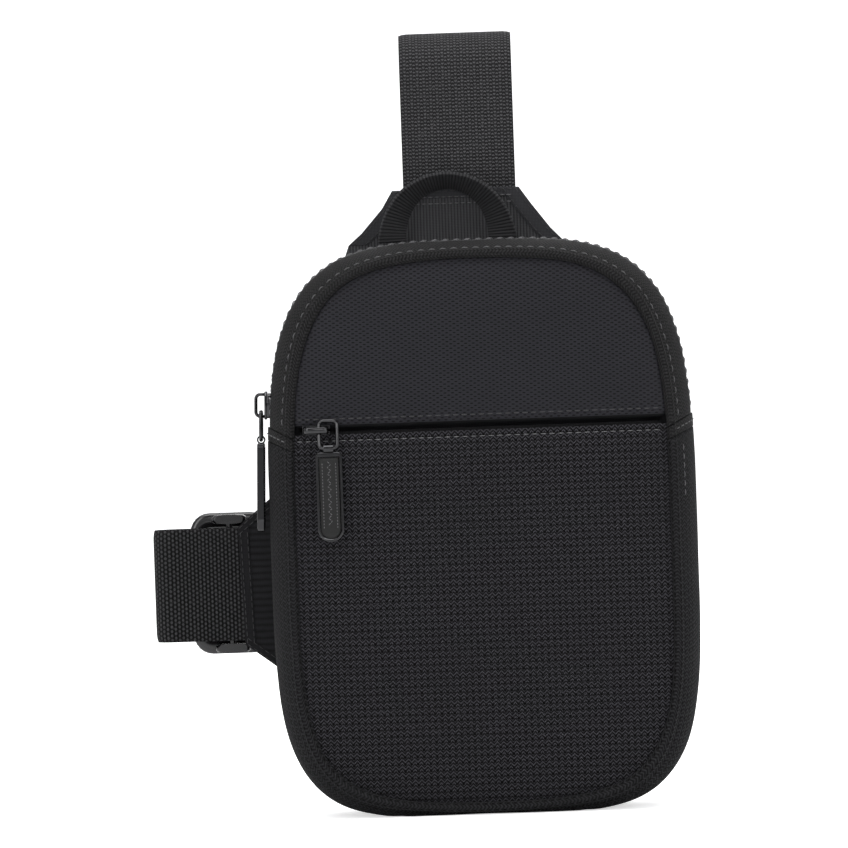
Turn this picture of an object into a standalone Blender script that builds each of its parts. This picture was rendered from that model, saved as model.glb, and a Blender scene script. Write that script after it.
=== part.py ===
"""A small sling bag: a zipped pouch with a front pocket, a grab loop, a padded back, and one webbing strap that
leaves the top at a yoke and comes back to a wing tab on the side, where a tri-glide adjusts it.

Frame: +Z up, +X to the right as seen from the front, the front faces -Y. The origin is the middle of the flat base.
All sizes are in metres.
"""

import math

import bmesh
import bpy
from mathutils import Matrix, Vector

MM = 0.001

# The pouch's outline, seen from the front: a superellipse, rounder at the top than at the flattened base.
BODY_HALF_WIDTH = 71.6 * MM
BODY_HEIGHT = 192 * MM
MID_Z = BODY_HEIGHT / 2
TOP_ROUNDNESS = 3.75
BASE_ROUNDNESS = 4.5
BASE_FLATTENING = 1.0 * MM

# The side wall bulges between the front and back seams, with its crest under the main zip.
ZIP_Y = -5 * MM
FRONT_SEAM_Y = -23 * MM
BACK_SEAM_Y = 22 * MM
SIDE_SEAM_INSET = 7.0 * MM
TOP_SEAM_INSET = 4.2 * MM
BASE_SEAM_INSET = 3.0 * MM
SIDE_BULGE_POWER = 2.2
BASE_BULGE_POWER = 9.0

FABRIC = 1.1 * MM
LINING = 0.8 * MM
GAP = 0.35 * MM

# Front face: a shallow dome with a straight valley where the pocket zip lies.
FRONT_DOME = 2.8 * MM
DOME_POWER = 7.0
POCKET_ZIP_Z = 130 * MM
POCKET_VALLEY_Y = -25.7 * MM
POCKET_VALLEY_REACH = 7 * MM
POCKET_MOUTH = 4.0 * MM
POCKET_ZIP_HALF_LENGTH = 60.5 * MM
POCKET_TAPE_WIDTH = 9 * MM

# Main zip: an arch over the top that ends in a folded seam on each side. From each end it first follows a true
# arc, whose centre is given for the right-hand side.
GUSSET_JOINT_Z = (126.9 * MM, 131.2 * MM)
ZIP_START_Z = 131.7 * MM
ARC_CENTRE = (-4 * MM, 136 * MM)
ARC_RADIUS = 74.4 * MM
ARC_TOP_Z = 178 * MM
MOUTH_Y = (-9.7 * MM, -0.3 * MM)
TAPE_RECESS = 1.45 * MM
TAPE = 0.7 * MM
TAPE_HALF_GAP = 0.8 * MM
TAPE_FRONT_Y = -19.5 * MM
TAPE_REAR_Y = 10.0 * MM
COIL_RADIUS = 0.75 * MM
COIL_SPREAD = 1.55 * MM

# Zip slider and puller, size 5.
SLIDER_LENGTH = 9.4 * MM
SLIDER_WIDTH = 8.2 * MM
SLIDER_PLATE = 0.9 * MM
SLIDER_POST = 1.0 * MM
CROWN_LENGTH = 8.6 * MM
CROWN_WIDTH = 3.0 * MM
CROWN_BAR = 1.2 * MM
RING_WIRE = 0.65 * MM
RING_WIDTH = 6.1 * MM
RING_HEIGHT = 9.4 * MM
PULL_WIDTH = 8.8 * MM
PULL_LENGTH = 31 * MM
PULL_THICKNESS = 2.6 * MM
PULL_RIM = 1.0 * MM
PULL_NECK = 1.15 * MM

MAIN_SLIDER_Z = 138.4 * MM
POCKET_SLIDER_X = -54.6 * MM
POCKET_RING_TILT = math.radians(10)

# Webbing strap, 38 mm wide.
WEBBING_WIDTH = 38 * MM
WEBBING = 1.4 * MM
STRAP_X = -4.4 * MM
STRAP_Y = 23.15 * MM
STRAP_BOTTOM_Z = 191.5 * MM
STRAP_TURN_Z = 250.4 * MM
HANK_Y = 45.0 * MM
HANK_STEP = 2.5 * MM
HANK_LOW_Z = 2.1 * MM
HANK_HIGH_Z = 132.1 * MM
STRAP_RUN_Y = 32.5 * MM

# Yoke (top) and wing (side): two fabric layers each, with the webbing sewn between them.
TAB_FRONT_Y = (21.0 * MM, 22.1 * MM)
TAB_REAR_Y = (24.2 * MM, 25.3 * MM)
TAB_SEAM_GAP = 0.6 * MM
WING_CENTRE_Z = 77.8 * MM
WING_EDGE_X = -83.2 * MM
LOOP_TURN_X = -106.0 * MM
RETURN_Y = 34.4 * MM
WEBBING_START_X = -68 * MM
WEBBING_TAIL_X = -42 * MM

TRI_GLIDE_X = -86.5 * MM
TRI_GLIDE_LENGTH = 27 * MM
TRI_GLIDE_HEIGHT = 48 * MM
TRI_GLIDE_RAIL = 4 * MM
TRI_GLIDE_Y = (35.5 * MM, 38.7 * MM)
CENTRE_BAR_Y = 30.4 * MM
CENTRE_BAR_RADIUS = 1.1 * MM

LOOP_X = -9 * MM
LOOP_HALF_WIDTH = 19 * MM
LOOP_Y = 16.5 * MM
LOOP_FOOT_Z = 191.6 * MM
LOOP_TOP_Z = 212.5 * MM
LOOP_TAPE = (10 * MM, 1.3 * MM)


def clear_scene():
    for obj in list(bpy.data.objects):
        bpy.data.objects.remove(obj)


def collection(name):
    made = bpy.data.collections.new(name)
    bpy.context.scene.collection.children.link(made)
    return made


def material(name, colour, roughness, metallic=0.0):
    made = bpy.data.materials.new(name)
    made.use_nodes = True
    shader = made.node_tree.nodes["Principled BSDF"]
    shader.inputs["Base Color"].default_value = (*colour, 1)
    shader.inputs["Roughness"].default_value = roughness
    shader.inputs["Metallic"].default_value = metallic
    return made


clear_scene()
BAG = collection("sling_bag")
HELPERS = collection("helpers")
COATED_CLOTH = material("coated_cloth", (0.035, 0.035, 0.038), 0.6)
MESH_CLOTH = material("mesh_cloth", (0.022, 0.022, 0.024), 0.8)
ZIP_CLOTH = material("zip_cloth", (0.03, 0.03, 0.031), 0.85)
WEBBING_CLOTH = material("webbing_cloth", (0.032, 0.032, 0.034), 0.8)
LINING_CLOTH = material("lining_cloth", (0.02, 0.02, 0.022), 0.9)
GROSGRAIN = material("grosgrain", (0.012, 0.012, 0.013), 0.8)
COIL_NYLON = material("coil_nylon", (0.03, 0.03, 0.031), 0.4)
GUNMETAL = material("gunmetal", (0.05, 0.05, 0.055), 0.2, 1.0)
MOULDED_PLASTIC = material("moulded_plastic", (0.03, 0.03, 0.032), 0.4)
PULL_LEATHER = material("pull_leather", (0.03, 0.032, 0.03), 0.6)


# ---------------------------------------------------------------- ways of making a solid


def add(name, data, look, matrix=None, where=None):
    obj = bpy.data.objects.new(name, data)
    if look is not None:
        data.materials.append(look)
    (where or BAG).objects.link(obj)
    if matrix is not None:
        obj.matrix_world = matrix
    return obj


def sheet(name, rows, thickness, look):
    """A fabric shell: a grid of points, thickened towards the inside of the bag."""
    shape = bmesh.new()
    grid = [[shape.verts.new(point) for point in row] for row in rows]
    for low, high in zip(grid, grid[1:]):
        for a, b, c, d in zip(low, low[1:], high[1:], high):
            shape.faces.new((a, b, c, d))
    mesh = bpy.data.meshes.new(name)
    shape.to_mesh(mesh)
    shape.free()
    obj = add(name, mesh, look)
    thicken(obj, thickness)
    return obj


def thicken(obj, thickness, offset=-1):
    wall = obj.modifiers.new("wall", "SOLIDIFY")
    wall.thickness = thickness
    wall.offset = offset
    wall.use_even_offset = True


def poly_spline(curve, points, closed):
    spline = curve.splines.new("POLY")
    spline.points.add(len(points) - 1)
    for slot, point in zip(spline.points, points):
        slot.co = (*point, *[0] * (3 - len(point)), 1)
    spline.use_cyclic_u = closed


def plate_curve(name, outlines, thickness):
    """A flat curve of one outline, with any holes after it, in its own XY plane, thick along its own Z."""
    curve = bpy.data.curves.new(name, "CURVE")
    curve.dimensions = "2D"
    curve.fill_mode = "BOTH"
    curve.extrude = thickness / 2
    for outline in outlines:
        poly_spline(curve, outline, closed=True)
    return curve


STANDING = Matrix.Rotation(math.pi / 2, 4, "X")
SIDEWAYS = Matrix.Rotation(math.pi / 2, 4, "Z") @ STANDING


def standing_plate(name, outline, middle_y, thickness, look):
    """A plate parallel to the front of the bag, from an outline of (x, z) points."""
    curve = plate_curve(name, [outline], thickness)
    return add(name, curve, look, Matrix.Translation((0, middle_y, 0)) @ STANDING)


def tube(name, points, radius, look, closed=False, where=None, sides=1):
    curve = bpy.data.curves.new(name, "CURVE")
    curve.dimensions = "3D"
    curve.bevel_depth = radius
    curve.bevel_resolution = sides
    curve.use_fill_caps = True
    poly_spline(curve, points, closed)
    return add(name, curve, look, where=where)


def as_mesh(obj):
    """The evaluated curve as a closed mesh object of the same name."""
    bpy.context.view_layer.update()
    graph = bpy.context.evaluated_depsgraph_get()
    mesh = bpy.data.meshes.new_from_object(obj.evaluated_get(graph))
    shape = bmesh.new()
    shape.from_mesh(mesh)
    bmesh.ops.remove_doubles(shape, verts=shape.verts, dist=1e-6)
    shape.to_mesh(mesh)
    shape.free()
    name, matrix, home = obj.name, obj.matrix_world.copy(), obj.users_collection[0]
    bpy.data.objects.remove(obj)
    made = bpy.data.objects.new(name, mesh)
    home.objects.link(made)
    made.matrix_world = matrix
    return made


def box(name, low, high, look=None, where=None):
    """A box between two corners, with the size in its mesh."""
    shape = bmesh.new()
    bmesh.ops.create_cube(shape, size=1)
    low, high = Vector(low), Vector(high)
    size = high - low
    bmesh.ops.scale(shape, vec=size, verts=shape.verts)
    bmesh.ops.translate(shape, vec=(low + high) / 2, verts=shape.verts)
    mesh = bpy.data.meshes.new(name)
    shape.to_mesh(mesh)
    shape.free()
    return add(name, mesh, look, where=where)


def union(obj, *others):
    for other in others:
        other.hide_render = True
        other.display_type = "WIRE"
        joined = obj.modifiers.new("join_" + other.name, "BOOLEAN")
        joined.operation = "UNION"
        joined.object = other
    return obj


def arc(centre, radius, start, stop, steps):
    """Points on a circle from one angle to another, in degrees, ends included."""
    angles = [math.radians(start + (stop - start) * i / steps) for i in range(steps + 1)]
    return [(centre[0] + radius * math.cos(a), centre[1] + radius * math.sin(a)) for a in angles]


def rounded_box(centre, width, height, radius, steps=4):
    """The outline of a rectangle with round corners."""
    x, y = width / 2 - radius, height / 2 - radius
    corners = [(x, y, 0), (-x, y, 90), (-x, -y, 180), (x, -y, 270)]
    points = []
    for dx, dy, start in corners:
        points += arc((centre[0] + dx, centre[1] + dy), radius, start, start + 90, steps)
    return points


def ribbon_outline(path, thickness):
    """The two sides of a ribbon that follows a flat path, as one closed outline."""
    sides = ([], [])
    for i, point in enumerate(path):
        before, after = Vector(path[max(i - 1, 0)]), Vector(path[min(i + 1, len(path) - 1)])
        along = (after - before).normalized()
        across = Vector((-along.y, along.x)) * thickness / 2
        sides[0].append(tuple(Vector(point) + across))
        sides[1].append(tuple(Vector(point) - across))
    return sides[0] + sides[1][::-1]


# ---------------------------------------------------------------- the pouch's outline


def outline_point(direction, inset):
    """(x, z) of the outline in a direction from its middle, in radians, moved inwards by inset."""
    across, up = math.cos(direction), math.sin(direction)
    power = TOP_ROUNDNESS if up >= 0 else BASE_ROUNDNESS
    half_height = MID_Z - inset + (BASE_FLATTENING if up < 0 else 0)
    reach = (abs(across) / (BODY_HALF_WIDTH - inset)) ** power + (abs(up) / half_height) ** power
    radius = reach ** (-1 / power)
    return radius * across, max(MID_Z + radius * up, 0.0)


def direction_at(z, inset=0.0):
    """The direction, on the right-hand side, in which the outline reaches a height z."""
    low, high = -math.pi / 2, math.pi / 2
    for _ in range(50):
        middle = (low + high) / 2
        if outline_point(middle, inset)[1] < z:
            low = middle
        else:
            high = middle
    return low


def on_arc(point, radius):
    """A point of the outline, moved to the zip's arc of a given radius. None above the arc's end."""
    x, z = point
    if z > ARC_TOP_Z:
        return None
    centre_x, centre_z = ARC_CENTRE
    turn = math.atan2(z - centre_z, abs(x) - centre_x)
    return math.copysign(centre_x + radius * math.cos(turn), x), centre_z + radius * math.sin(turn)


def zip_point(direction, inset):
    """As outline_point, shifted so that the tape's crest follows the arc as far up as that goes."""
    x, z = outline_point(direction, inset)
    crest = outline_point(direction, TAPE_RECESS)
    moved = on_arc(crest, ARC_RADIUS - TAPE_RECESS)
    if moved:
        x, z = x + moved[0] - crest[0], z + moved[1] - crest[1]
    return x, z


def seam_inset(direction):
    """How far the front and back seams lie inside the outline."""
    up = math.sin(direction)
    end = TOP_SEAM_INSET if up > 0 else BASE_SEAM_INSET
    return SIDE_SEAM_INSET + (end - SIDE_SEAM_INSET) * abs(up) ** 6


def side_inset(y, direction):
    """How far the side wall lies inside the outline, at a depth y."""
    from_crest = y - ZIP_Y
    reach = BACK_SEAM_Y - ZIP_Y if from_crest > 0 else ZIP_Y - FRONT_SEAM_Y
    squareness = max(0.0, -math.sin(direction)) ** 8
    power = SIDE_BULGE_POWER + (BASE_BULGE_POWER - SIDE_BULGE_POWER) * squareness
    return seam_inset(direction) * (abs(from_crest) / reach) ** power


def spread(start, stop, count):
    return [start + (stop - start) * i / count for i in range(count + 1)]


def over_the_top(z, count):
    """Directions from the right-hand side at height z, over the top, to the left-hand side."""
    start = direction_at(z)
    return spread(start, math.pi - start, count)


def under_the_base(z, count):
    """Directions from the left-hand side at height z, under the base, to the right-hand side."""
    start = direction_at(z)
    return spread(math.pi - start, 2 * math.pi + start, count)


def wall_band(name, around, depths, thickness, look, recess=0.0, straight=False):
    """A strip of the side wall, between two depths, along a stretch of the outline."""
    point_at = zip_point if straight else outline_point
    rows = []
    for direction in around:
        row = []
        for y in depths:
            x, z = point_at(direction, side_inset(y, direction) + recess)
            row.append((x, y, max(z, recess)))
        rows.append(row)
    return sheet(name, rows, thickness, look)


def full_ring(inset, count=48):
    """The outline, moved inwards from the seam line."""
    around = spread(0, 2 * math.pi, count)[:-1]
    return [outline_point(direction, seam_inset(direction) + inset) for direction in around]


# ---------------------------------------------------------------- front face


def share_of(x, z):
    """How far a point of the front face lies from the middle towards the seam, from 0 to 1."""
    direction = math.atan2(z - MID_Z, x)
    edge_x, edge_z = outline_point(direction, seam_inset(direction) + 0.2 * MM)
    return min(1.0, math.hypot(x, z - MID_Z) / math.hypot(edge_x, edge_z - MID_Z))


def front_y(x, z):
    """Depth of the outside of the front face."""
    rim = FRONT_SEAM_Y - GAP - FABRIC
    dome = rim - FRONT_DOME * (1 - share_of(x, z) ** DOME_POWER)
    valley = math.exp(-(((z - POCKET_ZIP_Z) / POCKET_VALLEY_REACH) ** 2))
    return (1 - valley) * dome + valley * max(dome, POCKET_VALLEY_Y)


def ring_face(shares, around):
    """An open surface in the XZ plane, of rings from the middle to the seam line."""
    shape = bmesh.new()
    middle = shape.verts.new((0, 0, MID_Z))
    rings = []
    for share in shares:
        ring = []
        for direction in around:
            x, z = outline_point(direction, seam_inset(direction) + 0.2 * MM)
            ring.append(shape.verts.new((x * share, 0, MID_Z + (z - MID_Z) * share)))
        rings.append(ring)
    for a, b in zip(rings[0], rings[0][1:] + rings[0][:1]):
        shape.faces.new((middle, a, b))
    for inner, outer in zip(rings, rings[1:]):
        for i in range(len(inner)):
            j = (i + 1) % len(inner)
            shape.faces.new((inner[i], outer[i], outer[j], inner[j]))
    return shape


def front_panel(name, cut_z, keep_above, look):
    """The front face above or below a level cut."""
    shape = ring_face([0.35, 0.6, 0.78, 0.88, 0.95, 1.0], spread(0, 2 * math.pi, 48)[:-1])
    for offset in (-13, -7.5, 7.5, 13):
        everything = shape.verts[:] + shape.edges[:] + shape.faces[:]
        plane = (0, 0, POCKET_ZIP_Z + offset * MM)
        bmesh.ops.bisect_plane(shape, geom=everything, plane_co=plane, plane_no=(0, 0, 1))
    everything = shape.verts[:] + shape.edges[:] + shape.faces[:]
    upwards = (0, 0, 1 if keep_above else -1)
    bmesh.ops.bisect_plane(
        shape, geom=everything, plane_co=(0, 0, cut_z), plane_no=upwards, clear_inner=True
    )
    for vertex in shape.verts:
        vertex.co.y = front_y(vertex.co.x, vertex.co.z)
    return shell_from(shape, name, FABRIC, look)


def shell_from(shape, name, thickness, look, offset=-1):
    mesh = bpy.data.meshes.new(name)
    shape.to_mesh(mesh)
    shape.free()
    obj = add(name, mesh, look)
    thicken(obj, thickness, offset)
    return obj


front_panel("front_upper_panel", POCKET_ZIP_Z + POCKET_MOUTH / 2, True, COATED_CLOTH)
front_panel("front_pocket_panel", POCKET_ZIP_Z - POCKET_MOUTH / 2, False, MESH_CLOTH)

# Pocket zip, seen from its own centre line: tape 0 to -TAPE, coil behind it.
POCKET_TAPE_Y = POCKET_VALLEY_Y + FABRIC + 2 * GAP + SLIDER_PLATE + 0.1 * MM
POCKET_TAPE_OFFSET = POCKET_TAPE_Y - POCKET_VALLEY_Y


def pocket_line(x, offset):
    """Depth of the pocket zip's layers, which follow the front face at the ends."""
    return front_y(x, POCKET_ZIP_Z) + POCKET_TAPE_OFFSET + offset


def pocket_tape(name, side):
    rows = []
    for x in spread(-POCKET_ZIP_HALF_LENGTH, POCKET_ZIP_HALF_LENGTH, 12):
        edge, rim = side * TAPE_HALF_GAP, side * (TAPE_HALF_GAP + POCKET_TAPE_WIDTH)
        low, high = sorted((edge, rim))
        y = pocket_line(x, 0)
        rows.append([(x, y, POCKET_ZIP_Z + high), (x, y, POCKET_ZIP_Z + low)])
    return sheet(name, rows, TAPE, ZIP_CLOTH)


pocket_tape("pocket_tape_upper", 1)
pocket_tape("pocket_tape_lower", -1)
for side, label in ((1, "upper"), (-1, "lower")):
    line = [
        (x, pocket_line(x, TAPE + GAP + COIL_RADIUS), POCKET_ZIP_Z + side * COIL_SPREAD)
        for x in spread(-POCKET_ZIP_HALF_LENGTH + 2 * MM, POCKET_ZIP_HALF_LENGTH - 2 * MM, 10)
    ]
    as_mesh(tube("pocket_coil_" + label, line, COIL_RADIUS, COIL_NYLON))

POCKET_BACK_Y = POCKET_TAPE_Y + 5.4 * MM
standing_plate("pocket_back", full_ring(1.8 * MM), POCKET_BACK_Y, LINING, LINING_CLOTH)

# ---------------------------------------------------------------- side wall and main zip

TOP = over_the_top(ZIP_START_Z, 40)
LOWER = under_the_base(GUSSET_JOINT_Z[0] - GAP, 40)
FRONT_DEPTHS = [FRONT_SEAM_Y, -19.5 * MM, -15 * MM, MOUTH_Y[0]]
REAR_DEPTHS = [MOUTH_Y[1], 6 * MM, 12 * MM, 17.5 * MM, BACK_SEAM_Y]
WALL_DEPTHS = [FRONT_SEAM_Y, -20 * MM, -15 * MM, ZIP_Y, 6 * MM, 12 * MM, 17.5 * MM, BACK_SEAM_Y]

wall_band("zip_strip_front", TOP, FRONT_DEPTHS, FABRIC, COATED_CLOTH)
wall_band("zip_strip_rear", TOP, REAR_DEPTHS, FABRIC, COATED_CLOTH)
tape_depths = ([TAPE_FRONT_Y, -15 * MM, -10 * MM, ZIP_Y - TAPE_HALF_GAP],
               [ZIP_Y + TAPE_HALF_GAP, 0.0, 5 * MM, TAPE_REAR_Y])
for label, depths in zip(("front", "rear"), tape_depths):
    around = over_the_top(ZIP_START_Z + TAPE_RECESS, 44)
    wall_band("main_tape_" + label, around, depths, TAPE, ZIP_CLOTH, TAPE_RECESS, straight=True)
for side, label in ((-1, "front"), (1, "rear")):
    line = []
    for direction in over_the_top(ZIP_START_Z + TAPE_RECESS, 44):
        inset = TAPE_RECESS - GAP - COIL_RADIUS
        point = outline_point(direction, inset)
        x, z = on_arc(point, ARC_RADIUS - inset) or point
        line.append((x, ZIP_Y + side * COIL_SPREAD, z))
    as_mesh(tube("main_coil_" + label, line, COIL_RADIUS, COIL_NYLON))

wall_band("lower_gusset", LOWER, WALL_DEPTHS, FABRIC, MESH_CLOTH)
lining_depths = [-14 * MM, ZIP_Y, 5 * MM, 13 * MM]
wall_band("gusset_lining", LOWER, lining_depths, LINING, LINING_CLOTH, FABRIC + 2 * GAP)
joint_start, joint_end = (direction_at(z) for z in GUSSET_JOINT_Z)
wall_band("gusset_joint_right", [joint_start, joint_end], WALL_DEPTHS, 2 * FABRIC, COATED_CLOTH)
left_joint = [math.pi - joint_end, math.pi - joint_start]
wall_band("gusset_joint_left", left_joint, WALL_DEPTHS, 2 * FABRIC, COATED_CLOTH)

BINDING_RADIUS = 1.3 * MM
for label, y in (("front", FRONT_SEAM_Y + 3.5 * MM), ("rear", BACK_SEAM_Y - 2.4 * MM)):
    ring = [(x, y, z) for x, z in full_ring(FABRIC + 2 * GAP + BINDING_RADIUS)]
    as_mesh(tube("seam_binding_" + label, ring, BINDING_RADIUS, LINING_CLOTH, closed=True))

# ---------------------------------------------------------------- padded back

BACK_RIM_Y = BACK_SEAM_Y + GAP
BACK_DOME = 6.0 * MM
FOAM_INSET = 11 * MM
FOAM_Y = (17.0 * MM, 26.2 * MM)

shape = ring_face([0.35, 0.6, 0.78, 0.88, 0.95, 1.0], spread(0, 2 * math.pi, 48)[:-1])
for vertex in shape.verts:
    share = share_of(vertex.co.x, vertex.co.z)
    vertex.co.y = BACK_RIM_Y + BACK_DOME * (1 - share**9)
shell_from(shape, "back_cover", FABRIC, MESH_CLOTH, offset=-1)

foam = standing_plate(
    "back_foam", full_ring(FOAM_INSET, 32), sum(FOAM_Y) / 2, FOAM_Y[1] - FOAM_Y[0], LINING_CLOTH
)
standing_plate("back_lining", full_ring(1.8 * MM), FOAM_Y[0] - GAP - LINING / 2, LINING, LINING_CLOTH)
pocket_outline = rounded_box((0, 62 * MM), 98 * MM, 84 * MM, 10 * MM)
standing_plate(
    "inner_pocket", pocket_outline, FOAM_Y[0] - 2 * GAP - 1.5 * LINING, LINING, LINING_CLOTH
)

# ---------------------------------------------------------------- zip sliders and pullers


def slider(name, matrix, coil_outside, look):
    """A slider in its own frame: X along the zip, Y across it, Z out of the bag, tape from 0 to -TAPE."""
    coil_depth = GAP + 2 * COIL_RADIUS
    top = (coil_depth if coil_outside else 0) + GAP
    bottom = -TAPE - (0 if coil_outside else coil_depth) - (2 if coil_outside else 1) * GAP
    half, wide = SLIDER_LENGTH / 2, SLIDER_WIDTH / 2
    narrow = wide - 0.7 * MM
    body = box(name, (-half, -wide, top), (half, wide, top + SLIDER_PLATE), look)
    lower = box(
        name + "_lower",
        (-half, -narrow, bottom - SLIDER_PLATE),
        (half, narrow, bottom),
        None,
        HELPERS,
    )
    post_end = half - 0.8 * MM
    post = box(
        name + "_post",
        (post_end - 3 * MM, -SLIDER_POST / 2, bottom - 0.4 * MM),
        (post_end, SLIDER_POST / 2, top + 0.4 * MM),
        None,
        HELPERS,
    )
    crown_z = crown_height(coil_outside)
    reach, foot = CROWN_LENGTH / 2 - CROWN_BAR / 2, top + 0.3 * MM
    peak = crown_z + RING_WIRE + 0.5 * MM + CROWN_BAR / 2
    path = [(-reach, foot)] + arc((-reach + 1.3 * MM, peak - 1.3 * MM), 1.3 * MM, 180, 90, 4)
    path += arc((reach - 1.3 * MM, peak - 1.3 * MM), 1.3 * MM, 90, 0, 4) + [(reach, foot)]
    crown = add(
        name + "_crown",
        plate_curve(name + "_crown", [ribbon_outline(path, CROWN_BAR)], CROWN_WIDTH),
        None,
        STANDING,
        HELPERS,
    )
    crown = as_mesh(crown)
    for piece in (lower, post, crown):
        piece.matrix_world = matrix @ piece.matrix_world
    body.matrix_world = matrix
    return union(body, lower, post, crown)


def crown_height(coil_outside):
    """Height above the tape of the middle of the crown's window."""
    if coil_outside:
        return 2 * GAP + 2 * COIL_RADIUS + SLIDER_PLATE + 0.5 * MM + RING_WIRE
    return -(POCKET_VALLEY_Y - POCKET_TAPE_Y) + 1.2 * MM + RING_WIRE


def ring(name, matrix, look):
    """A wire ring that hangs along -Y from its own origin, in its XY plane."""
    half = RING_WIDTH / 2
    loop = rounded_box((0, -RING_HEIGHT / 2), RING_WIDTH, RING_HEIGHT, 1.4 * MM, 3)
    made = as_mesh(tube(name, [(x, y, 0) for x, y in loop], RING_WIRE, look, closed=True, sides=2))
    made.matrix_world = matrix
    return made


def pull(name, matrix, look, insert_look):
    """A puller in its own frame: it hangs along -Y from the axis of its eye, which lies along X."""
    eye = [arc((0, 0), 1.45 * MM, 0, 345, 23), arc((0, 0), 0.98 * MM, 0, 330, 11)]
    sleeve = add(name + "_eye", plate_curve(name + "_eye", eye, 3.4 * MM), None, SIDEWAYS, HELPERS)
    sleeve = as_mesh(sleeve)
    sleeve.matrix_world = matrix @ sleeve.matrix_world
    top, bottom = -PULL_NECK, -PULL_LENGTH
    half = PULL_WIDTH / 2
    outer = arc((0, bottom + half), half, 180, 360, 12)
    outer += arc((half - 1 * MM, top - 1 * MM), 1 * MM, 0, 90, 3)
    outer += arc((-half + 1 * MM, top - 1 * MM), 1 * MM, 90, 180, 3)
    inner_half = half - PULL_RIM
    hole_top = top - 1.6 * MM
    inner = arc((0, bottom + half), inner_half, 180, 360, 12)
    inner += [(inner_half, hole_top), (-inner_half, hole_top)]
    frame = as_mesh(add(name + "_frame", plate_curve(name, [outer, inner], PULL_THICKNESS), look))
    frame.name = name + "_frame"
    frame.matrix_world = matrix
    union(frame, sleeve)
    fill = inner_half - 0.3 * MM
    leather = arc((0, bottom + half), fill, 180, 360, 12)
    leather += [(fill, hole_top - 0.3 * MM), (-fill, hole_top - 0.3 * MM)]
    add(name + "_insert", plate_curve(name + "_insert", [leather], 2.0 * MM), insert_look, matrix)
    return frame


def placed(origin, x_axis, y_axis):
    """A matrix with its X and Y axes along two directions at right angles."""
    x_axis, y_axis = Vector(x_axis).normalized(), Vector(y_axis).normalized()
    turn = Matrix((x_axis, y_axis, x_axis.cross(y_axis))).transposed()
    return Matrix.Translation(origin) @ turn.to_4x4()


# Main slider: at the foot of the arc on the left side.
arc_pivot = Vector((-ARC_CENTRE[0], ZIP_Y, ARC_CENTRE[1]))
turn = math.asin((MAIN_SLIDER_Z - arc_pivot.z) / (ARC_RADIUS - TAPE_RECESS))
ZIP_UP = Vector((math.sin(turn), 0, math.cos(turn)))
outwards = Vector((-math.cos(turn), 0, math.sin(turn)))
MAIN = placed(arc_pivot + outwards * (ARC_RADIUS - TAPE_RECESS), ZIP_UP, (0, 1, 0))
slider("main_slider", MAIN, True, GUNMETAL)
main_eye = MAIN @ Vector((-CROWN_LENGTH / 2 + CROWN_BAR + RING_WIRE + 0.35 * MM, 0, crown_height(True)))
ring("main_ring", placed(main_eye, (0, 1, 0), ZIP_UP), GUNMETAL)
main_pull_eye = main_eye - ZIP_UP * RING_HEIGHT
pull("main_pull", placed(main_pull_eye, (0, 1, 0), ZIP_UP), GUNMETAL, PULL_LEATHER)

# Pocket slider: at the left end of the pocket zip.
POCKET = placed((POCKET_SLIDER_X, POCKET_TAPE_Y, POCKET_ZIP_Z), (1, 0, 0), (0, 0, 1))
slider("pocket_slider", POCKET, False, GUNMETAL)
ring_x = POCKET_SLIDER_X + 0.9 * MM
ring_y = POCKET_TAPE_Y - crown_height(False)
hang = Vector((0, math.sin(POCKET_RING_TILT), math.cos(POCKET_RING_TILT)))
ring_top = Vector((ring_x + RING_WIDTH / 2, ring_y, POCKET_ZIP_Z)) + hang * 3.1 * MM
ring("pocket_ring", placed(ring_top, (1, 0, 0), hang), GUNMETAL)
pocket_pull_eye = ring_top - hang * RING_HEIGHT
pull("pocket_pull", placed(pocket_pull_eye, (1, 0, 0), (0, 0, 1)), GUNMETAL, PULL_LEATHER)

# ---------------------------------------------------------------- yoke and wing


def seam_edge(first, last, count):
    """Points along the back seam, just outside it, between two directions."""
    points = []
    for direction in spread(first, last, count):
        points.append(outline_point(direction, seam_inset(direction) - TAB_SEAM_GAP))
    return points


yoke = seam_edge(math.radians(64), math.radians(119), 14)
yoke += [(-42.5 * MM, 191 * MM), (-37.9 * MM, 195 * MM), (-30.8 * MM, 203 * MM), (-27.2 * MM, 209 * MM)]
yoke += [(15.6 * MM, 209 * MM), (19.8 * MM, 203 * MM), (25.8 * MM, 195 * MM), (29.6 * MM, 191 * MM)]
wing = seam_edge(math.radians(166), math.radians(219), 12)
wing += [(WING_EDGE_X + 1.2 * MM, WING_CENTRE_Z - 20.4 * MM), (WING_EDGE_X, WING_CENTRE_Z + 19.4 * MM)]
for label, outline in (("yoke", yoke), ("wing", wing)):
    for layer, (low, high) in (("front", TAB_FRONT_Y), ("rear", TAB_REAR_Y)):
        standing_plate(label + "_" + layer, outline, (low + high) / 2, high - low, COATED_CLOTH)

# ---------------------------------------------------------------- webbing strap


def webbing_matrix_upright(middle_x):
    """For an outline of (y, z) points: extruded along X."""
    turn = Matrix(((0, 0, 1), (1, 0, 0), (0, 1, 0))).to_4x4()
    return Matrix.Translation((middle_x, 0, 0)) @ turn


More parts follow.
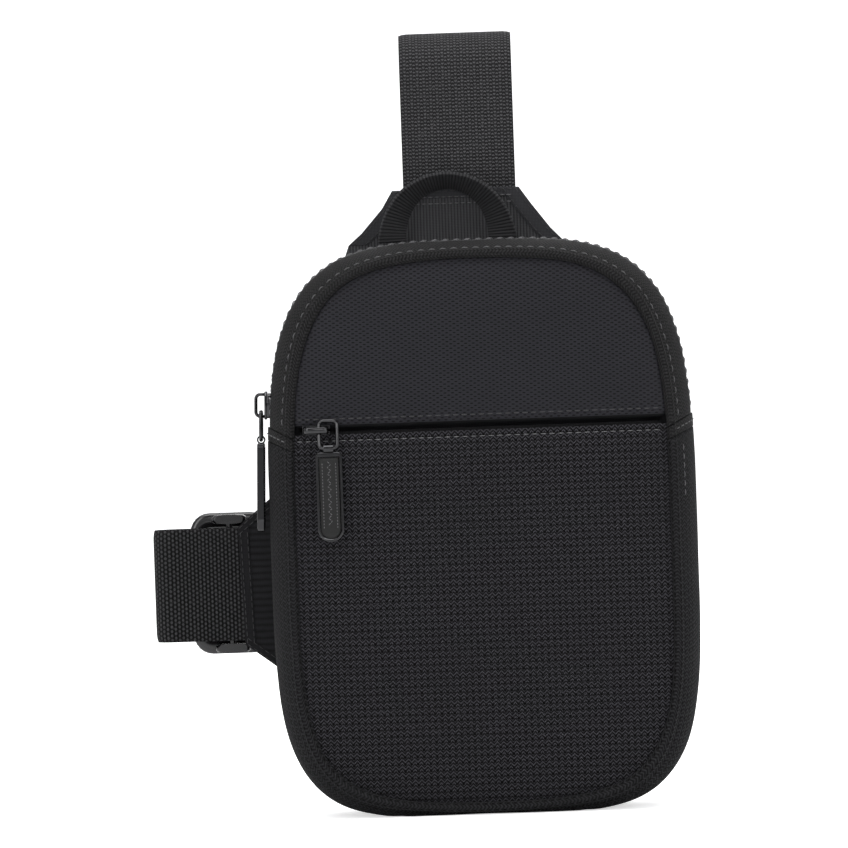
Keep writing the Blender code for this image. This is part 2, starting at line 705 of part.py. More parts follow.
turn_radius = (HANK_Y - STRAP_Y) / 2
path = [(STRAP_Y, STRAP_BOTTOM_Z)]
path += arc((STRAP_Y + turn_radius, STRAP_TURN_Z), turn_radius, 180, 0, 14)
bend = HANK_STEP / 2
layers = [HANK_Y - i * HANK_STEP for i in range(5)]
path += arc((layers[0] - bend, HANK_LOW_Z), bend, 0, -180, 6)
path += arc((layers[1] - bend, HANK_HIGH_Z), bend, 0, 180, 6)
path += arc((layers[2] - bend, HANK_LOW_Z), bend, 0, -180, 6)
path += arc((layers[3] - bend, HANK_HIGH_Z), bend, 0, 180, 6)
run_low = WING_CENTRE_Z - WEBBING_WIDTH / 2
path += [(layers[4], run_low)]
strap_curve = plate_curve("strap_webbing", [ribbon_outline(path, WEBBING)], WEBBING_WIDTH)
strap = as_mesh(add("strap_webbing", strap_curve, WEBBING_CLOTH, webbing_matrix_upright(STRAP_X)))

# The end of the strap: it turns to the left behind the bag and is sewn round the tri-glide's bar.
eye_radius = CENTRE_BAR_RADIUS + GAP + WEBBING / 2
bar_y = STRAP_RUN_Y - eye_radius
fold_x = STRAP_X + WEBBING_WIDTH / 2
run = [(fold_x, STRAP_RUN_Y)]
run += arc((TRI_GLIDE_X, bar_y), eye_radius, 90, 270, 10)
run += [(TRI_GLIDE_X + 9.5 * MM, bar_y - eye_radius)]
run_curve = plate_curve("strap_run", [ribbon_outline(run, WEBBING)], WEBBING_WIDTH)
strap_run = as_mesh(
    add("strap_run", run_curve, None, Matrix.Translation((0, 0, WING_CENTRE_Z)), HELPERS)
)
fold = box(
    "strap_fold",
    (fold_x - WEBBING, STRAP_RUN_Y - WEBBING / 2 + 0.2 * MM, run_low + 0.2 * MM),
    (fold_x - 0.2 * MM, layers[4] + WEBBING / 2 - 0.2 * MM, run_low + WEBBING_WIDTH - 0.2 * MM),
    None,
    HELPERS,
)
union(strap, strap_run, fold)

# Adjuster webbing: sewn in the wing, it turns back round and ends behind the bag.
half_turn = (RETURN_Y - STRAP_Y) / 2
path = [(WEBBING_START_X, STRAP_Y)]
path += arc((LOOP_TURN_X, STRAP_Y + half_turn), half_turn, 270, 90, 12)
path += [(WEBBING_TAIL_X, RETURN_Y)]
loop_curve = plate_curve("adjuster_webbing", [ribbon_outline(path, WEBBING)], WEBBING_WIDTH)
add("adjuster_webbing", loop_curve, WEBBING_CLOTH, Matrix.Translation((0, 0, WING_CENTRE_Z)))

# ---------------------------------------------------------------- tri-glide

glide_low, glide_high = TRI_GLIDE_Y
middle = (TRI_GLIDE_X, WING_CENTRE_Z)
window = (TRI_GLIDE_LENGTH - 2 * TRI_GLIDE_RAIL, TRI_GLIDE_HEIGHT - 2 * TRI_GLIDE_RAIL)
outlines = [rounded_box(middle, TRI_GLIDE_LENGTH, TRI_GLIDE_HEIGHT, 3 * MM)]
outlines.append(rounded_box(middle, *window, 1 * MM, 2))
tri_glide = as_mesh(
    add(
        "tri_glide",
        plate_curve("tri_glide", outlines, glide_high - glide_low),
        MOULDED_PLASTIC,
        Matrix.Translation((0, (glide_low + glide_high) / 2, 0)) @ STANDING,
    )
)
half_inner = TRI_GLIDE_HEIGHT / 2 - TRI_GLIDE_RAIL
bar_ends = [(TRI_GLIDE_X, bar_y, WING_CENTRE_Z + side * (half_inner + 2 * MM)) for side in (-1, 1)]
centre_bar = as_mesh(
    tube("tri_glide_centre", bar_ends, CENTRE_BAR_RADIUS, None, where=HELPERS, sides=2)
)
cheeks = []
for side, label in ((-1, "low"), (1, "high")):
    near, far = sorted(WING_CENTRE_Z + side * (half_inner + edge) for edge in (0.4 * MM, 3.6 * MM))
    cheeks.append(
        box(
            "tri_glide_cheek_" + label,
            (TRI_GLIDE_X - 3.4 * MM, bar_y - 1.9 * MM, near),
            (TRI_GLIDE_X + 3.4 * MM, glide_low + 1.5 * MM, far),
            None,
            HELPERS,
        )
    )
union(tri_glide, *cheeks, centre_bar)

# ---------------------------------------------------------------- grab loop

rows = []
steps = 22
for i in range(steps + 1):
    angle = math.pi * i / steps
    rise = max(0.0, math.sin(angle)) ** 0.8
    middle = Vector((LOOP_X - LOOP_HALF_WIDTH * math.cos(angle) * (1 - 0.1 * rise), LOOP_Y, 0))
    middle.z = LOOP_FOOT_Z + (LOOP_TOP_Z - LOOP_FOOT_Z) * rise
    outward = Vector((-math.cos(angle), 0, 1.1 * math.sin(angle))).normalized()
    lean = math.radians(68 - 38 * rise)
    across = outward * math.sin(lean) + Vector((0, -1, 0)) * math.cos(lean)
    half = LOOP_TAPE[0] / 2
    if i in (0, steps):
        middle.x -= outward.x * 0.2 * MM
    rows.append([tuple(middle - across * half), tuple(middle + across * half)])
sheet("grab_loop", rows, LOOP_TAPE[1], GROSGRAIN)

for helper in HELPERS.objects:
    helper.hide_render = True
    helper.display_type = "WIRE"
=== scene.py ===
"""Looks of a small black sling bag: coated cloth, knitted mesh, coil zips, plated sliders, one webbing strap.

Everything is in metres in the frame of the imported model: +Z up, +X to the right as seen from the front, the
front faces -Y, and the origin is the middle of the flat base.
"""

import math

import bmesh
import bpy
from mathutils import Matrix, Vector, noise


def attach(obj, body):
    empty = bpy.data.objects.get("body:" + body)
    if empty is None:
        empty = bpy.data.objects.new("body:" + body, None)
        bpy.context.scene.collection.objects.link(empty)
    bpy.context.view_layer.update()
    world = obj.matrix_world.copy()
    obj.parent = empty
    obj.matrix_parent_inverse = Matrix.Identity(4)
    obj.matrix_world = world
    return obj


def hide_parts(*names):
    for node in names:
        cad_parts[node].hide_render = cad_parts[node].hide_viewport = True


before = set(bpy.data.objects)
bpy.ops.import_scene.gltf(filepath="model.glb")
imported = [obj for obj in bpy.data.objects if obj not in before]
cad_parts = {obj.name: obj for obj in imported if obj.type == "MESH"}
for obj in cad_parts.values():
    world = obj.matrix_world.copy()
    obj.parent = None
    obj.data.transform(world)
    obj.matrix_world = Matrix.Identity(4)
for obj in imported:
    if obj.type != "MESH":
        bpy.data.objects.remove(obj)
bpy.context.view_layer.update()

MM = 0.001

# ---------------------------------------------------------------- camera, light and floor
# The bag stands on a pale sweep, lit by broad soft panels, and is seen square from the front, from just
# above, with the camera leaning a little to the right. The lamps are hidden from view.

SIGHT_POINT = Vector((-18.8 * MM, -8 * MM, 130.5 * MM))
CAMERA_DISTANCE = 2.8
CAMERA_RISE = math.radians(1.2)
CAMERA_TURN = math.radians(0.6)
CAMERA_LEAN = math.radians(-2.0)
VIEW_WIDTH = 0.2838

camera_data = bpy.data.cameras.new("camera")
camera_data.sensor_width = 36
camera_data.lens = 36 * CAMERA_DISTANCE / VIEW_WIDTH
camera_data.clip_start = 0.05
camera = bpy.data.objects.new("camera", camera_data)
bpy.context.scene.collection.objects.link(camera)
facing = Matrix.Rotation(CAMERA_TURN, 4, "Z") @ Matrix.Rotation(math.pi / 2 - CAMERA_RISE, 4, "X")
facing = facing @ Matrix.Rotation(CAMERA_LEAN, 4, "Z")
camera.matrix_world = Matrix.Translation(SIGHT_POINT) @ facing @ Matrix.Translation((0, 0, CAMERA_DISTANCE))
bpy.context.scene.camera = camera


def soft_panel(name, place, aim, size, power):
    lamp = bpy.data.lights.new(name, "AREA")
    lamp.shape = "RECTANGLE"
    lamp.size, lamp.size_y = size
    lamp.energy = power
    held = bpy.data.objects.new(name, lamp)
    bpy.context.scene.collection.objects.link(held)
    towards = (Vector(aim) - Vector(place)).to_track_quat("-Z", "Y")
    held.visible_camera = False
    held.matrix_world = Matrix.Translation(place) @ towards.to_matrix().to_4x4()


soft_panel("panel_left", (-0.75, -0.75, 0.6), (0, 0, 0.1), (0.5, 0.9), 4.53)
soft_panel("panel_right", (0.85, -0.65, 0.45), (0, 0, 0.1), (0.45, 0.9), 3.36)
soft_panel("panel_top", (0.0, -0.25, 1.05), (0, 0, 0.1), (0.8, 0.4), 4.23)
soft_panel("panel_front", (0.1, -1.3, 0.62), (0, 0, 0.1), (0.5, 0.12), 1.9)
soft_panel("panel_back", (0.2, 1.1, 0.7), (0, 0, 0.12), (0.9, 0.7), 4.01)
soft_panel("panel_sweep", (0.0, 0.0, 3.6), (0, 0, 0), (4.5, 4.5), 120)

world = bpy.data.worlds.new("studio")
world.use_nodes = True
world.node_tree.nodes["Background"].inputs["Color"].default_value = (0.94, 0.95, 0.97, 1)
world.node_tree.nodes["Background"].inputs["Strength"].default_value = 0.25
bpy.context.scene.world = world
bpy.context.scene.view_settings.view_transform = "Standard"

# The sweep is a wide pale floor that curves up into a wall all round.
FLOOR_RADIUS, SWEEP_RADIUS, SWEEP_HEIGHT = 3.8, 1.0, 4.2
PROFILE_STEPS, SWEEP_SIDES = 12, 72
profile = [(0.0001, 0.0), (1.0, 0.0), (2.4, 0.0), (FLOOR_RADIUS, 0.0)]
for i in range(1, PROFILE_STEPS + 1):
    angle = math.radians(-90 + 90 * i / PROFILE_STEPS)
    profile.append(
        (FLOOR_RADIUS + SWEEP_RADIUS * math.cos(angle), SWEEP_RADIUS + SWEEP_RADIUS * math.sin(angle))
    )
profile.append((FLOOR_RADIUS + SWEEP_RADIUS, SWEEP_HEIGHT))


def finished_mesh(shape, name):
    mesh = bpy.data.meshes.new(name)
    shape.to_mesh(mesh)
    shape.free()
    return mesh


def quad_grid(name, rows, uv_rows=None):
    """A mesh through rows of points, with a UV map in metres."""
    shape = bmesh.new()
    grid = [[shape.verts.new(point) for point in row] for row in rows]
    layer = shape.loops.layers.uv.new("cloth")
    for low, high in zip(range(len(rows)), range(1, len(rows))):
        for i in range(len(rows[0]) - 1):
            corners = ((low, i), (low, i + 1), (high, i + 1), (high, i))
            face = shape.faces.new([grid[a][b] for a, b in corners])
            face.smooth = True
            if uv_rows:
                for loop, (a, b) in zip(face.loops, corners):
                    loop[layer].uv = uv_rows[a][b]
    return finished_mesh(shape, name)


sweep_rows = []
for i in range(SWEEP_SIDES + 1):
    turn = 2 * math.pi * (i % SWEEP_SIDES) / SWEEP_SIDES
    sweep_rows.append([(radius * math.cos(turn), radius * math.sin(turn), z) for radius, z in profile])
sweep = bpy.data.objects.new("sweep", quad_grid("sweep", sweep_rows))
bpy.context.scene.collection.objects.link(sweep)
paper = bpy.data.materials.new("sweep_paper")
paper.use_nodes = True
paper_look = paper.node_tree.nodes["Principled BSDF"].inputs
paper_look["Base Color"].default_value = (0.93, 0.93, 0.935, 1)
paper_look["Roughness"].default_value = 0.9
seen = paper.node_tree.nodes.new("ShaderNodeLightPath")
paper.node_tree.links.new(seen.outputs["Is Camera Ray"], paper_look["Emission Strength"])
paper_look["Emission Color"].default_value = (0.6, 0.6, 0.6, 1)  # keeps the ground white to the camera
sweep.data.materials.append(paper)

# ---------------------------------------------------------------- front face
# The upper panel is coated polyester with a fine woven dimple. The pocket panel below it is a knitted mesh
# with rows of holes. Both are sewn into the front seam and turned under along the pocket zip, with a row of
# stitches.

HALF_WIDTH, MID_Z = 71.6 * MM, 96 * MM
TOP_ROUNDNESS, BASE_ROUNDNESS, BASE_FLATTENING = 3.75, 4.5, 1.0 * MM
SIDE_SEAM, TOP_SEAM, BASE_SEAM = 7.0 * MM, 4.2 * MM, 3.0 * MM
FRONT_SEAM_Y, BACK_SEAM_Y, ZIP_Y = -23 * MM, 22 * MM, -5 * MM
RIM_Y = FRONT_SEAM_Y - 1.45 * MM
FRONT_DOME, DOME_POWER = 2.8 * MM, 7.0
POCKET_ZIP_Z, VALLEY_Y, VALLEY_REACH = 130 * MM, -25.7 * MM, 7 * MM
MOUTH_HALF = 2.0 * MM
CLOTH = 1.05 * MM


def outline_point(direction, inset):
    """(x, z) of the pouch's outline in a direction from its middle, moved inwards by inset."""
    across, up = math.cos(direction), math.sin(direction)
    power = TOP_ROUNDNESS if up >= 0 else BASE_ROUNDNESS
    half_height = MID_Z - inset + (BASE_FLATTENING if up < 0 else 0)
    reach = (abs(across) / (HALF_WIDTH - inset)) ** power + (abs(up) / half_height) ** power
    radius = reach ** (-1 / power)
    return radius * across, max(MID_Z + radius * up, 0.0)


def seam_inset(direction):
    up = math.sin(direction)
    end = TOP_SEAM if up > 0 else BASE_SEAM
    return SIDE_SEAM + (end - SIDE_SEAM) * abs(up) ** 6


def share_of(x, z):
    """How far a point of a face lies from the middle towards the seam, from 0 to 1."""
    direction = math.atan2(z - MID_Z, x)
    edge_x, edge_z = outline_point(direction, seam_inset(direction) + 0.2 * MM)
    return min(1.0, math.hypot(x, z - MID_Z) / math.hypot(edge_x, edge_z - MID_Z))


def ripple(x, z, size, seed):
    """Soft unevenness of cloth, from -1 to 1."""
    return noise.noise(Vector((x / size, z / size, seed)))


def front_y(x, z):
    share = share_of(x, z)
    dome = RIM_Y - FRONT_DOME * (1 - share**DOME_POWER)
    valley = math.exp(-(((z - POCKET_ZIP_Z) / VALLEY_REACH) ** 2))
    y = (1 - valley) * dome + valley * max(dome, VALLEY_Y)
    loose = (1 - share**4) * (1 - valley)
    y += 1.6 * MM * share**18
    y += 0.28 * MM * loose * ripple(x, z, 38 * MM, 3.1)
    y += 0.16 * MM * (1 - valley) * share**3 * ripple(x, z, 11 * MM, 7.7)
    return y


def squircle_grid(across, up):
    """(x, z) points of a whole face, on a square grid whose edge is drawn in to the outline."""
    rows = []
    for j in range(up + 1):
        v = -1 + 2 * j / up
        row = []
        for i in range(across + 1):
            u = -1 + 2 * i / across
            share = max(abs(u), abs(v))
            if share == 0:
                row.append((0.0, MID_Z))
                continue
            direction = math.atan2(v * MID_Z, u * HALF_WIDTH)
            x, z = outline_point(direction, seam_inset(direction) + 0.2 * MM)
            row.append((x * share, MID_Z + (z - MID_Z) * share))
        rows.append(row)
    return rows


def face_panel(name, low_z, high_z, y_of):
    """The part of the face between two levels, its cut edges turned under."""
    shape = bmesh.new()
    rows = squircle_grid(88, 116)
    grid = [[shape.verts.new((x, 0, z)) for x, z in row] for row in rows]
    for low, high in zip(grid, grid[1:]):
        for a, b, c, d in zip(low, low[1:], high[1:], high):
            shape.faces.new((a, b, c, d))
    for cut, outside in ((low_z, (0, 0, -1)), (high_z, (0, 0, 1))):
        if cut is not None:
            everything = shape.verts[:] + shape.edges[:] + shape.faces[:]
            bmesh.ops.bisect_plane(
                shape, geom=everything, plane_co=(0, 0, cut), plane_no=outside, clear_outer=True
            )
    layer = shape.loops.layers.uv.new("cloth")
    for vertex in shape.verts:
        vertex.co.y = y_of(vertex.co.x, vertex.co.z)
    for face in shape.faces:
        face.smooth = True
        for loop in face.loops:
            loop[layer].uv = (loop.vert.co.x, loop.vert.co.z)
    return finished_mesh(shape, name)


def place(name, mesh, look, body, slot, thickness=None, offset=-1.0):
    """A finished piece in the scene, riding on its body. thickness makes cloth of a single surface."""
    piece = bpy.data.objects.new(name, mesh)
    bpy.context.scene.collection.objects.link(piece)
    mesh.materials.clear()
    mesh.materials.append(look)
    if thickness:
        wall = piece.modifiers.new("cloth", "SOLIDIFY")
        wall.thickness = thickness
        wall.offset = offset
        wall.use_even_offset = True
    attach(piece, body)
    return piece


# How a material's nodes are laid: a node with its inputs wired or set, and one-line arithmetic.


def lay(tree, kind, inputs=None, **settings):
    made = tree.nodes.new(kind)
    for key, value in settings.items():
        setattr(made, key, value)
    for key, value in (inputs or {}).items():
        if isinstance(value, bpy.types.NodeSocket):
            tree.links.new(value, made.inputs[key])
        else:
            made.inputs[key].default_value = value
    return made


def sums(tree, operation, *values, clamp=False):
    made = lay(tree, "ShaderNodeMath", dict(enumerate(values)), operation=operation, use_clamp=clamp)
    return made.outputs[0]


def effect(name, inputs, outputs):
    """A shader node group with named sockets, and its input and output nodes."""
    tree = bpy.data.node_groups.new(name, "ShaderNodeTree")
    for label, kind, value in inputs:
        socket = tree.interface.new_socket(label, in_out="INPUT", socket_type="NodeSocket" + kind)
        if value is not None:
            socket.default_value = value
    for label, kind in outputs:
        tree.interface.new_socket(label, in_out="OUTPUT", socket_type="NodeSocket" + kind)
    return tree, tree.nodes.new("NodeGroupInput").outputs, tree.nodes.new("NodeGroupOutput").inputs


def use(tree, group, **inputs):
    made = tree.nodes.new("ShaderNodeGroup")
    made.node_tree = group
    for key, value in inputs.items():
        socket = made.inputs[key.replace("_", " ")]
        if isinstance(value, bpy.types.NodeSocket):
            tree.links.new(value, socket)
        else:
            socket.default_value = value
    return made.outputs


# Marks on a lattice: 1 inside each small ellipse, 0 between them. Shift moves every other row along.
lattice, given, gives = effect(
    "lattice_marks",
    [("Across", "Float", 0.0), ("Along", "Float", 0.0), ("Pitch across", "Float", 2.0),
     ("Pitch along", "Float", 2.0), ("Shift", "Float", 0.5), ("Width", "Float", 0.25),
     ("Height", "Float", 0.25)],
    [("Mark", "Float")],
)
row_at = sums(lattice, "DIVIDE", given["Along"], given["Pitch along"])
odd = sums(lattice, "FLOORED_MODULO", sums(lattice, "FLOOR", row_at), 2.0)
column_at = sums(lattice, "DIVIDE", given["Across"], given["Pitch across"])
column_at = sums(lattice, "ADD", column_at, sums(lattice, "MULTIPLY", odd, given["Shift"]))
off_across = sums(lattice, "SUBTRACT", sums(lattice, "FRACT", column_at), 0.5)
off_along = sums(lattice, "SUBTRACT", sums(lattice, "FRACT", row_at), 0.5)
off_across = sums(
    lattice, "POWER", sums(lattice, "ABSOLUTE", sums(lattice, "DIVIDE", off_across, given["Width"])), 2.0
)
off_along = sums(
    lattice, "POWER", sums(lattice, "ABSOLUTE", sums(lattice, "DIVIDE", off_along, given["Height"])), 2.0
)
away = sums(lattice, "ADD", off_across, off_along)
mark = sums(lattice, "MULTIPLY", sums(lattice, "SUBTRACT", 1.35, away), 1.6, clamp=True)
lattice.links.new(mark, gives["Mark"])

# Round ribs: 1 on each crest, 0 in each groove.
ribs, given, gives = effect(
    "round_ribs", [("Across", "Float", 0.0), ("Pitch", "Float", 1.0)], [("Rib", "Float")]
)
turned = sums(ribs, "MULTIPLY", sums(ribs, "DIVIDE", given["Across"], given["Pitch"]), math.pi)
ribs.links.new(sums(ribs, "ABSOLUTE", sums(ribs, "SINE", turned)), gives["Rib"])

# Handling and painted glints: slow changes of shade, and pale painted highlights where fibres catch the
# light.
handling_and_glints, given, gives = effect(
    "handling_and_painted_glints",
    [("Shade", "Color", (0.03, 0.03, 0.03, 1)), ("Relief", "Float", 0.5), ("Depth", "Float", 0.5),
     ("Specks", "Float", 0.2), ("Roughness", "Float", 0.8)],
    [("Colour", "Color"), ("Roughness", "Float")],
)
where = lay(handling_and_glints, "ShaderNodeTexCoord").outputs["Object"]
slow = lay(handling_and_glints, "ShaderNodeTexNoise", {"Vector": where, "Scale": 26.0, "Detail": 3.0}).outputs["Fac"]
fine = lay(handling_and_glints, "ShaderNodeTexNoise", {"Vector": where, "Scale": 1500.0, "Detail": 1.0}).outputs["Fac"]
# painted highlight: pale glints added to the colour where fibres would catch the light
glint = sums(handling_and_glints, "MULTIPLY", sums(handling_and_glints, "SUBTRACT", fine, 0.56), 6.0, clamp=True)
low = sums(handling_and_glints, "SUBTRACT", 1.0, given["Depth"])
bright = sums(handling_and_glints, "ADD", low, sums(handling_and_glints, "MULTIPLY", given["Relief"], given["Depth"]))
bright = sums(handling_and_glints, "MULTIPLY", bright, sums(handling_and_glints, "ADD", 0.78, sums(handling_and_glints, "MULTIPLY", slow, 0.44)))
bright = sums(handling_and_glints, "ADD", bright, sums(handling_and_glints, "MULTIPLY", glint, given["Specks"]))
scaled = lay(
    handling_and_glints, "ShaderNodeVectorMath", {0: given["Shade"], "Scale": bright}, operation="SCALE"
).outputs[0]
handling_and_glints.links.new(scaled, gives["Colour"])
rough = sums(handling_and_glints, "ADD", given["Roughness"], sums(handling_and_glints, "MULTIPLY", sums(handling_and_glints, "SUBTRACT", slow, 0.5), 0.25))
handling_and_glints.links.new(rough, gives["Roughness"])


def dressed(name, shade, relief_of, depth, glints, roughness, bump):
    """A material whose shade, roughness and bump follow relief_of(tree), from 0 to 1. bump is in mm."""
    look = bpy.data.materials.new(name)
    look.use_nodes = True
    tree = look.node_tree
    shader = tree.nodes["Principled BSDF"]
    relief = relief_of(tree)
    done = use(tree, handling_and_glints, Shade=(*shade, 1), Relief=relief, Depth=depth, Specks=glints, Roughness=roughness)
    tree.links.new(done["Colour"], shader.inputs["Base Color"])
    tree.links.new(done["Roughness"], shader.inputs["Roughness"])
    strength, distance = bump
    raised = lay(tree, "ShaderNodeBump", {"Height": relief, "Strength": strength, "Distance": distance * MM})
    tree.links.new(raised.outputs[0], shader.inputs["Normal"])
    return look


def cloth_look(name, shade, weave, depth, glints, roughness, bump, sheen):
    """A cloth material. weave(tree, across, along) gives its height; across and along are mm of cloth."""

    def relief_of(tree):
        uv = lay(tree, "ShaderNodeUVMap").outputs["UV"]
        in_mm = lay(tree, "ShaderNodeVectorMath", {0: uv, "Scale": 1000.0}, operation="SCALE").outputs[0]
        parts = lay(tree, "ShaderNodeSeparateXYZ", {0: in_mm}).outputs
        return weave(tree, parts["X"], parts["Y"])

    look = dressed(name, shade, relief_of, depth, glints, roughness, bump)
    inputs = look.node_tree.nodes["Principled BSDF"].inputs
    inputs["Sheen Weight"].default_value = sheen
    inputs["Sheen Roughness"].default_value = 0.45
    inputs["Specular IOR Level"].default_value = 0.1
    return look


def dimpled(tree, across, along):
    mark = use(tree, lattice, Across=across, Along=along, Pitch_across=2.5, Pitch_along=0.74,
               Shift=0.5, Width=0.22, Height=0.34)["Mark"]
    return sums(tree, "SUBTRACT", 1.0, mark)


def holed_knit(tree, across, along):
    hole = use(tree, lattice, Across=across, Along=along, Pitch_across=2.13, Pitch_along=2.37,
               Shift=0.0, Width=0.22, Height=0.19)["Mark"]
    zigzag = sums(tree, "PINGPONG", across, 1.065)
    yarn = use(tree, ribs, Across=sums(tree, "ADD", along, zigzag), Pitch=1.185)["Rib"]
    yarn = sums(tree, "POWER", yarn, 3.0)
    loop = use(tree, ribs, Across=sums(tree, "SUBTRACT", across, along), Pitch=0.71)["Rib"]
    yarn = sums(tree, "MULTIPLY", yarn, sums(tree, "ADD", 0.45, sums(tree, "MULTIPLY", loop, 0.75)))
    yarn = sums(tree, "ADD", 0.03, sums(tree, "MULTIPLY", yarn, 1.45))
    return sums(tree, "MULTIPLY", yarn, sums(tree, "SUBTRACT", 1.0, hole))


coated_cloth = cloth_look(
    "coated_cloth", (0.0146, 0.0144, 0.0174), dimpled, 0.85, 0.03, 0.56, (0.9, 0.2), 0.01
)
mesh_knit = cloth_look(
    "mesh_knit", (0.0288, 0.028, 0.032), holed_knit, 1.0, 0.3, 0.85, (0.9, 0.3), 0.01
)

upper = place(
    "front_upper_panel_cloth",
    face_panel("front_upper_panel_cloth", POCKET_ZIP_Z + MOUTH_HALF - 0.4 * MM, None, front_y),
    coated_cloth, "bag", "coated_cloth", CLOTH,
)
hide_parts("front_upper_panel")
pocket = place(
    "front_pocket_panel_cloth",
    face_panel("front_pocket_panel_cloth", None, POCKET_ZIP_Z - MOUTH_HALF + 0.4 * MM, front_y),
    mesh_knit, "bag", "mesh_cloth", CLOTH,
)
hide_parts("front_pocket_panel")

# A row of lockstitch in polyester thread holds each turned edge. Every stitch is a short bowed length of
# thread.

def twisted(tree):
    where = lay(tree, "ShaderNodeTexCoord").outputs["Object"]
    return lay(
        tree, "ShaderNodeTexWave", {"Vector": where, "Scale": 900.0, "Distortion": 1.5},
        wave_type="BANDS", bands_direction="DIAGONAL",
    ).outputs["Fac"]


thread = dressed("sewing_thread", (0.1, 0.1, 0.104), twisted, 0.45, 0.2, 0.6, (0.4, 0.05))
dull_thread = dressed("dull_thread", (0.022, 0.022, 0.0225), twisted, 0.45, 0.2, 0.6, (0.4, 0.05))


def bridge(shape, rings):
    """Smooth faces between neighbouring rings of points."""
    for near, far in rings:
        for k in range(len(near)):
            ahead = (k + 1) % len(near)
            shape.faces.new((near[k], near[ahead], far[ahead], far[k])).smooth = True


THREAD_SIDES = 5


def stitch_row(
    name, line, facings, body, pitch=3.0 * MM, share=0.72, radius=0.2 * MM, frame_of=None, look=thread
):
    """Stitches along a line of points. facings gives the outward direction at each point."""
    shape = bmesh.new()
    line = [Vector(point) for point in line]
    facings = [Vector(facing) for facing in facings]
    lengths = [0.0]
    for before, after in zip(line, line[1:]):
        lengths.append(lengths[-1] + (after - before).length)

    def at(distance):
        for i in range(1, len(line)):
            if distance <= lengths[i] or i == len(line) - 1:
                part = (distance - lengths[i - 1]) / max(lengths[i] - lengths[i - 1], 1e-9)
                return line[i - 1].lerp(line[i], part), facings[i - 1].lerp(facings[i], part)

    for n in range(int(lengths[-1] / pitch)):
        rings = []
        for k in range(5):
            part = k / 4
            point, facing = at((n + 0.5 + (part - 0.5) * share) * pitch)
            ahead, _ = at((n + 0.5 + (part - 0.5) * share) * pitch + 0.1 * MM)
            facing = facing.normalized()
            along = (ahead - point).normalized() if (ahead - point).length > 0 else Vector((0, 0, 1))
            across = along.cross(facing).normalized()
            bow = math.sin(math.pi * part)
            thick = radius * (0.35 + 0.65 * bow)
            middle = point + facing * radius * (bow * 1.1 - 0.45)
            ring = []
            for m in range(THREAD_SIDES):
                a = 2 * math.pi * m / THREAD_SIDES
                ring.append(shape.verts.new(middle + (across * math.cos(a) + facing * math.sin(a)) * thick))
            rings.append(ring)
        bridge(shape, zip(rings, rings[1:]))
        shape.faces.new(rings[0][::-1])
        shape.faces.new(rings[-1])
    mesh = finished_mesh(shape, name)
    if frame_of is not None:
        mesh.transform(frame_of)
    return place(name, mesh, look, body, "coated_cloth")


def steps(start, stop, count):
    return [start + (stop - start) * i / count for i in range(count + 1)]


for label, level, reach in (("upper", MOUTH_HALF + 1.6 * MM, 61.5), ("lower", -MOUTH_HALF - 1.7 * MM, 61.5)):
    line = [(x, 0, POCKET_ZIP_Z + level) for x in steps(-reach * MM, reach * MM, 60)]
    line = [(x, front_y(x, z), z) for x, _, z in line]
    stitch_row(
        f"stitches_pocket_{label}", line, [(0, -1, 0)] * 61, "bag", pitch=2.9 * MM,
        look=dull_thread if label == "upper" else thread,
    )

# ---------------------------------------------------------------- side wall
# One loop of cloth round the pouch: knitted mesh from side to side under the base, and two coated strips over
# the top that hold the main zip. The strips' edges are rolled under and stitched; short doubled pieces join
# the ends.

SIDE_POWER, BASE_POWER = 2.2, 9.0


def direction_at(z):
    """The direction on the right-hand side in which the outline reaches a height."""
    low, high = -math.pi / 2, math.pi / 2
    for _ in range(50):
        middle = (low + high) / 2
        low, high = (middle, high) if outline_point(middle, 0)[1] < z else (low, middle)
    return low


def wall_point(direction, y, recess=0.0):
    """A point of the side wall, which bulges most at the zip's middle line."""
    from_crest = y - ZIP_Y
    reach = BACK_SEAM_Y - ZIP_Y if from_crest > 0 else ZIP_Y - FRONT_SEAM_Y
    squareness = max(0.0, -math.sin(direction)) ** 8
    power = SIDE_POWER + (BASE_POWER - SIDE_POWER) * squareness
    inset = seam_inset(direction) * (abs(from_crest) / reach) ** power
    x, z = outline_point(direction, inset + recess)
    return Vector((x, y, max(z, recess)))


ROLL = [(2.3, -24.3), (1.9, -25.0), (1.2, -25.5), (0.3, -25.6), (-0.5, -25.2), (-0.9, -24.4), (-0.75, -23.5)]


def wall_strip(name, around, depths, wave=0.0, looseness=0.0):
    """A strip of the side wall whose front edge is rolled over the front seam.

    The edge along the zip waves a little, and the cloth between the seams is uneven."""
    rows, marks, travelled, last = [], [], 0.0, None
    for direction in around:
        middle = wall_point(direction, ZIP_Y)
        travelled += (middle - last).length if last else 0.0
        last = middle
        row, mark = [], []
        if depths[0] < -20 * MM:
            plump = 1 + 0.12 * ripple(travelled, 0, 21 * MM, 6.0)
            for inwards, y in ROLL:
                inset = seam_inset(direction) + (0.7 + (inwards - 0.7) * plump) * MM
                x, z = outline_point(direction, inset)
                row.append(Vector((x, (-24.1 + (y + 24.1) * plump) * MM, z)))
                mark.append((travelled, depths[0] - (7 - len(row)) * 0.8 * MM - 0.8 * MM))
        for y in depths:
            near_zip = math.exp(-(((abs(y - ZIP_Y) - 4.7 * MM) / (2.5 * MM)) ** 2))
            shifted = y + wave * near_zip * ripple(travelled, 0, 13 * MM, 1.5)
            recess = looseness * ripple(travelled, y, 17 * MM, 4.2) + 0.02 * MM
            recess += 0.25 * MM * near_zip * (wave > 0) * (1 + ripple(travelled, 0, 9 * MM, 9.0))
            row.append(wall_point(direction, shifted, max(recess, 0.0)))
            mark.append((travelled, y))
        rows.append(row)
        marks.append(mark)
    return quad_grid(name, rows, marks), travelled


def wall_line(around, y, recess=0.0):
    """A line along the side wall and the outward direction at each of its points."""
    line = [wall_point(direction, y, recess) for direction in around]
    facings = [Vector((math.cos(direction), 0, math.sin(direction))) for direction in around]
    return line, facings


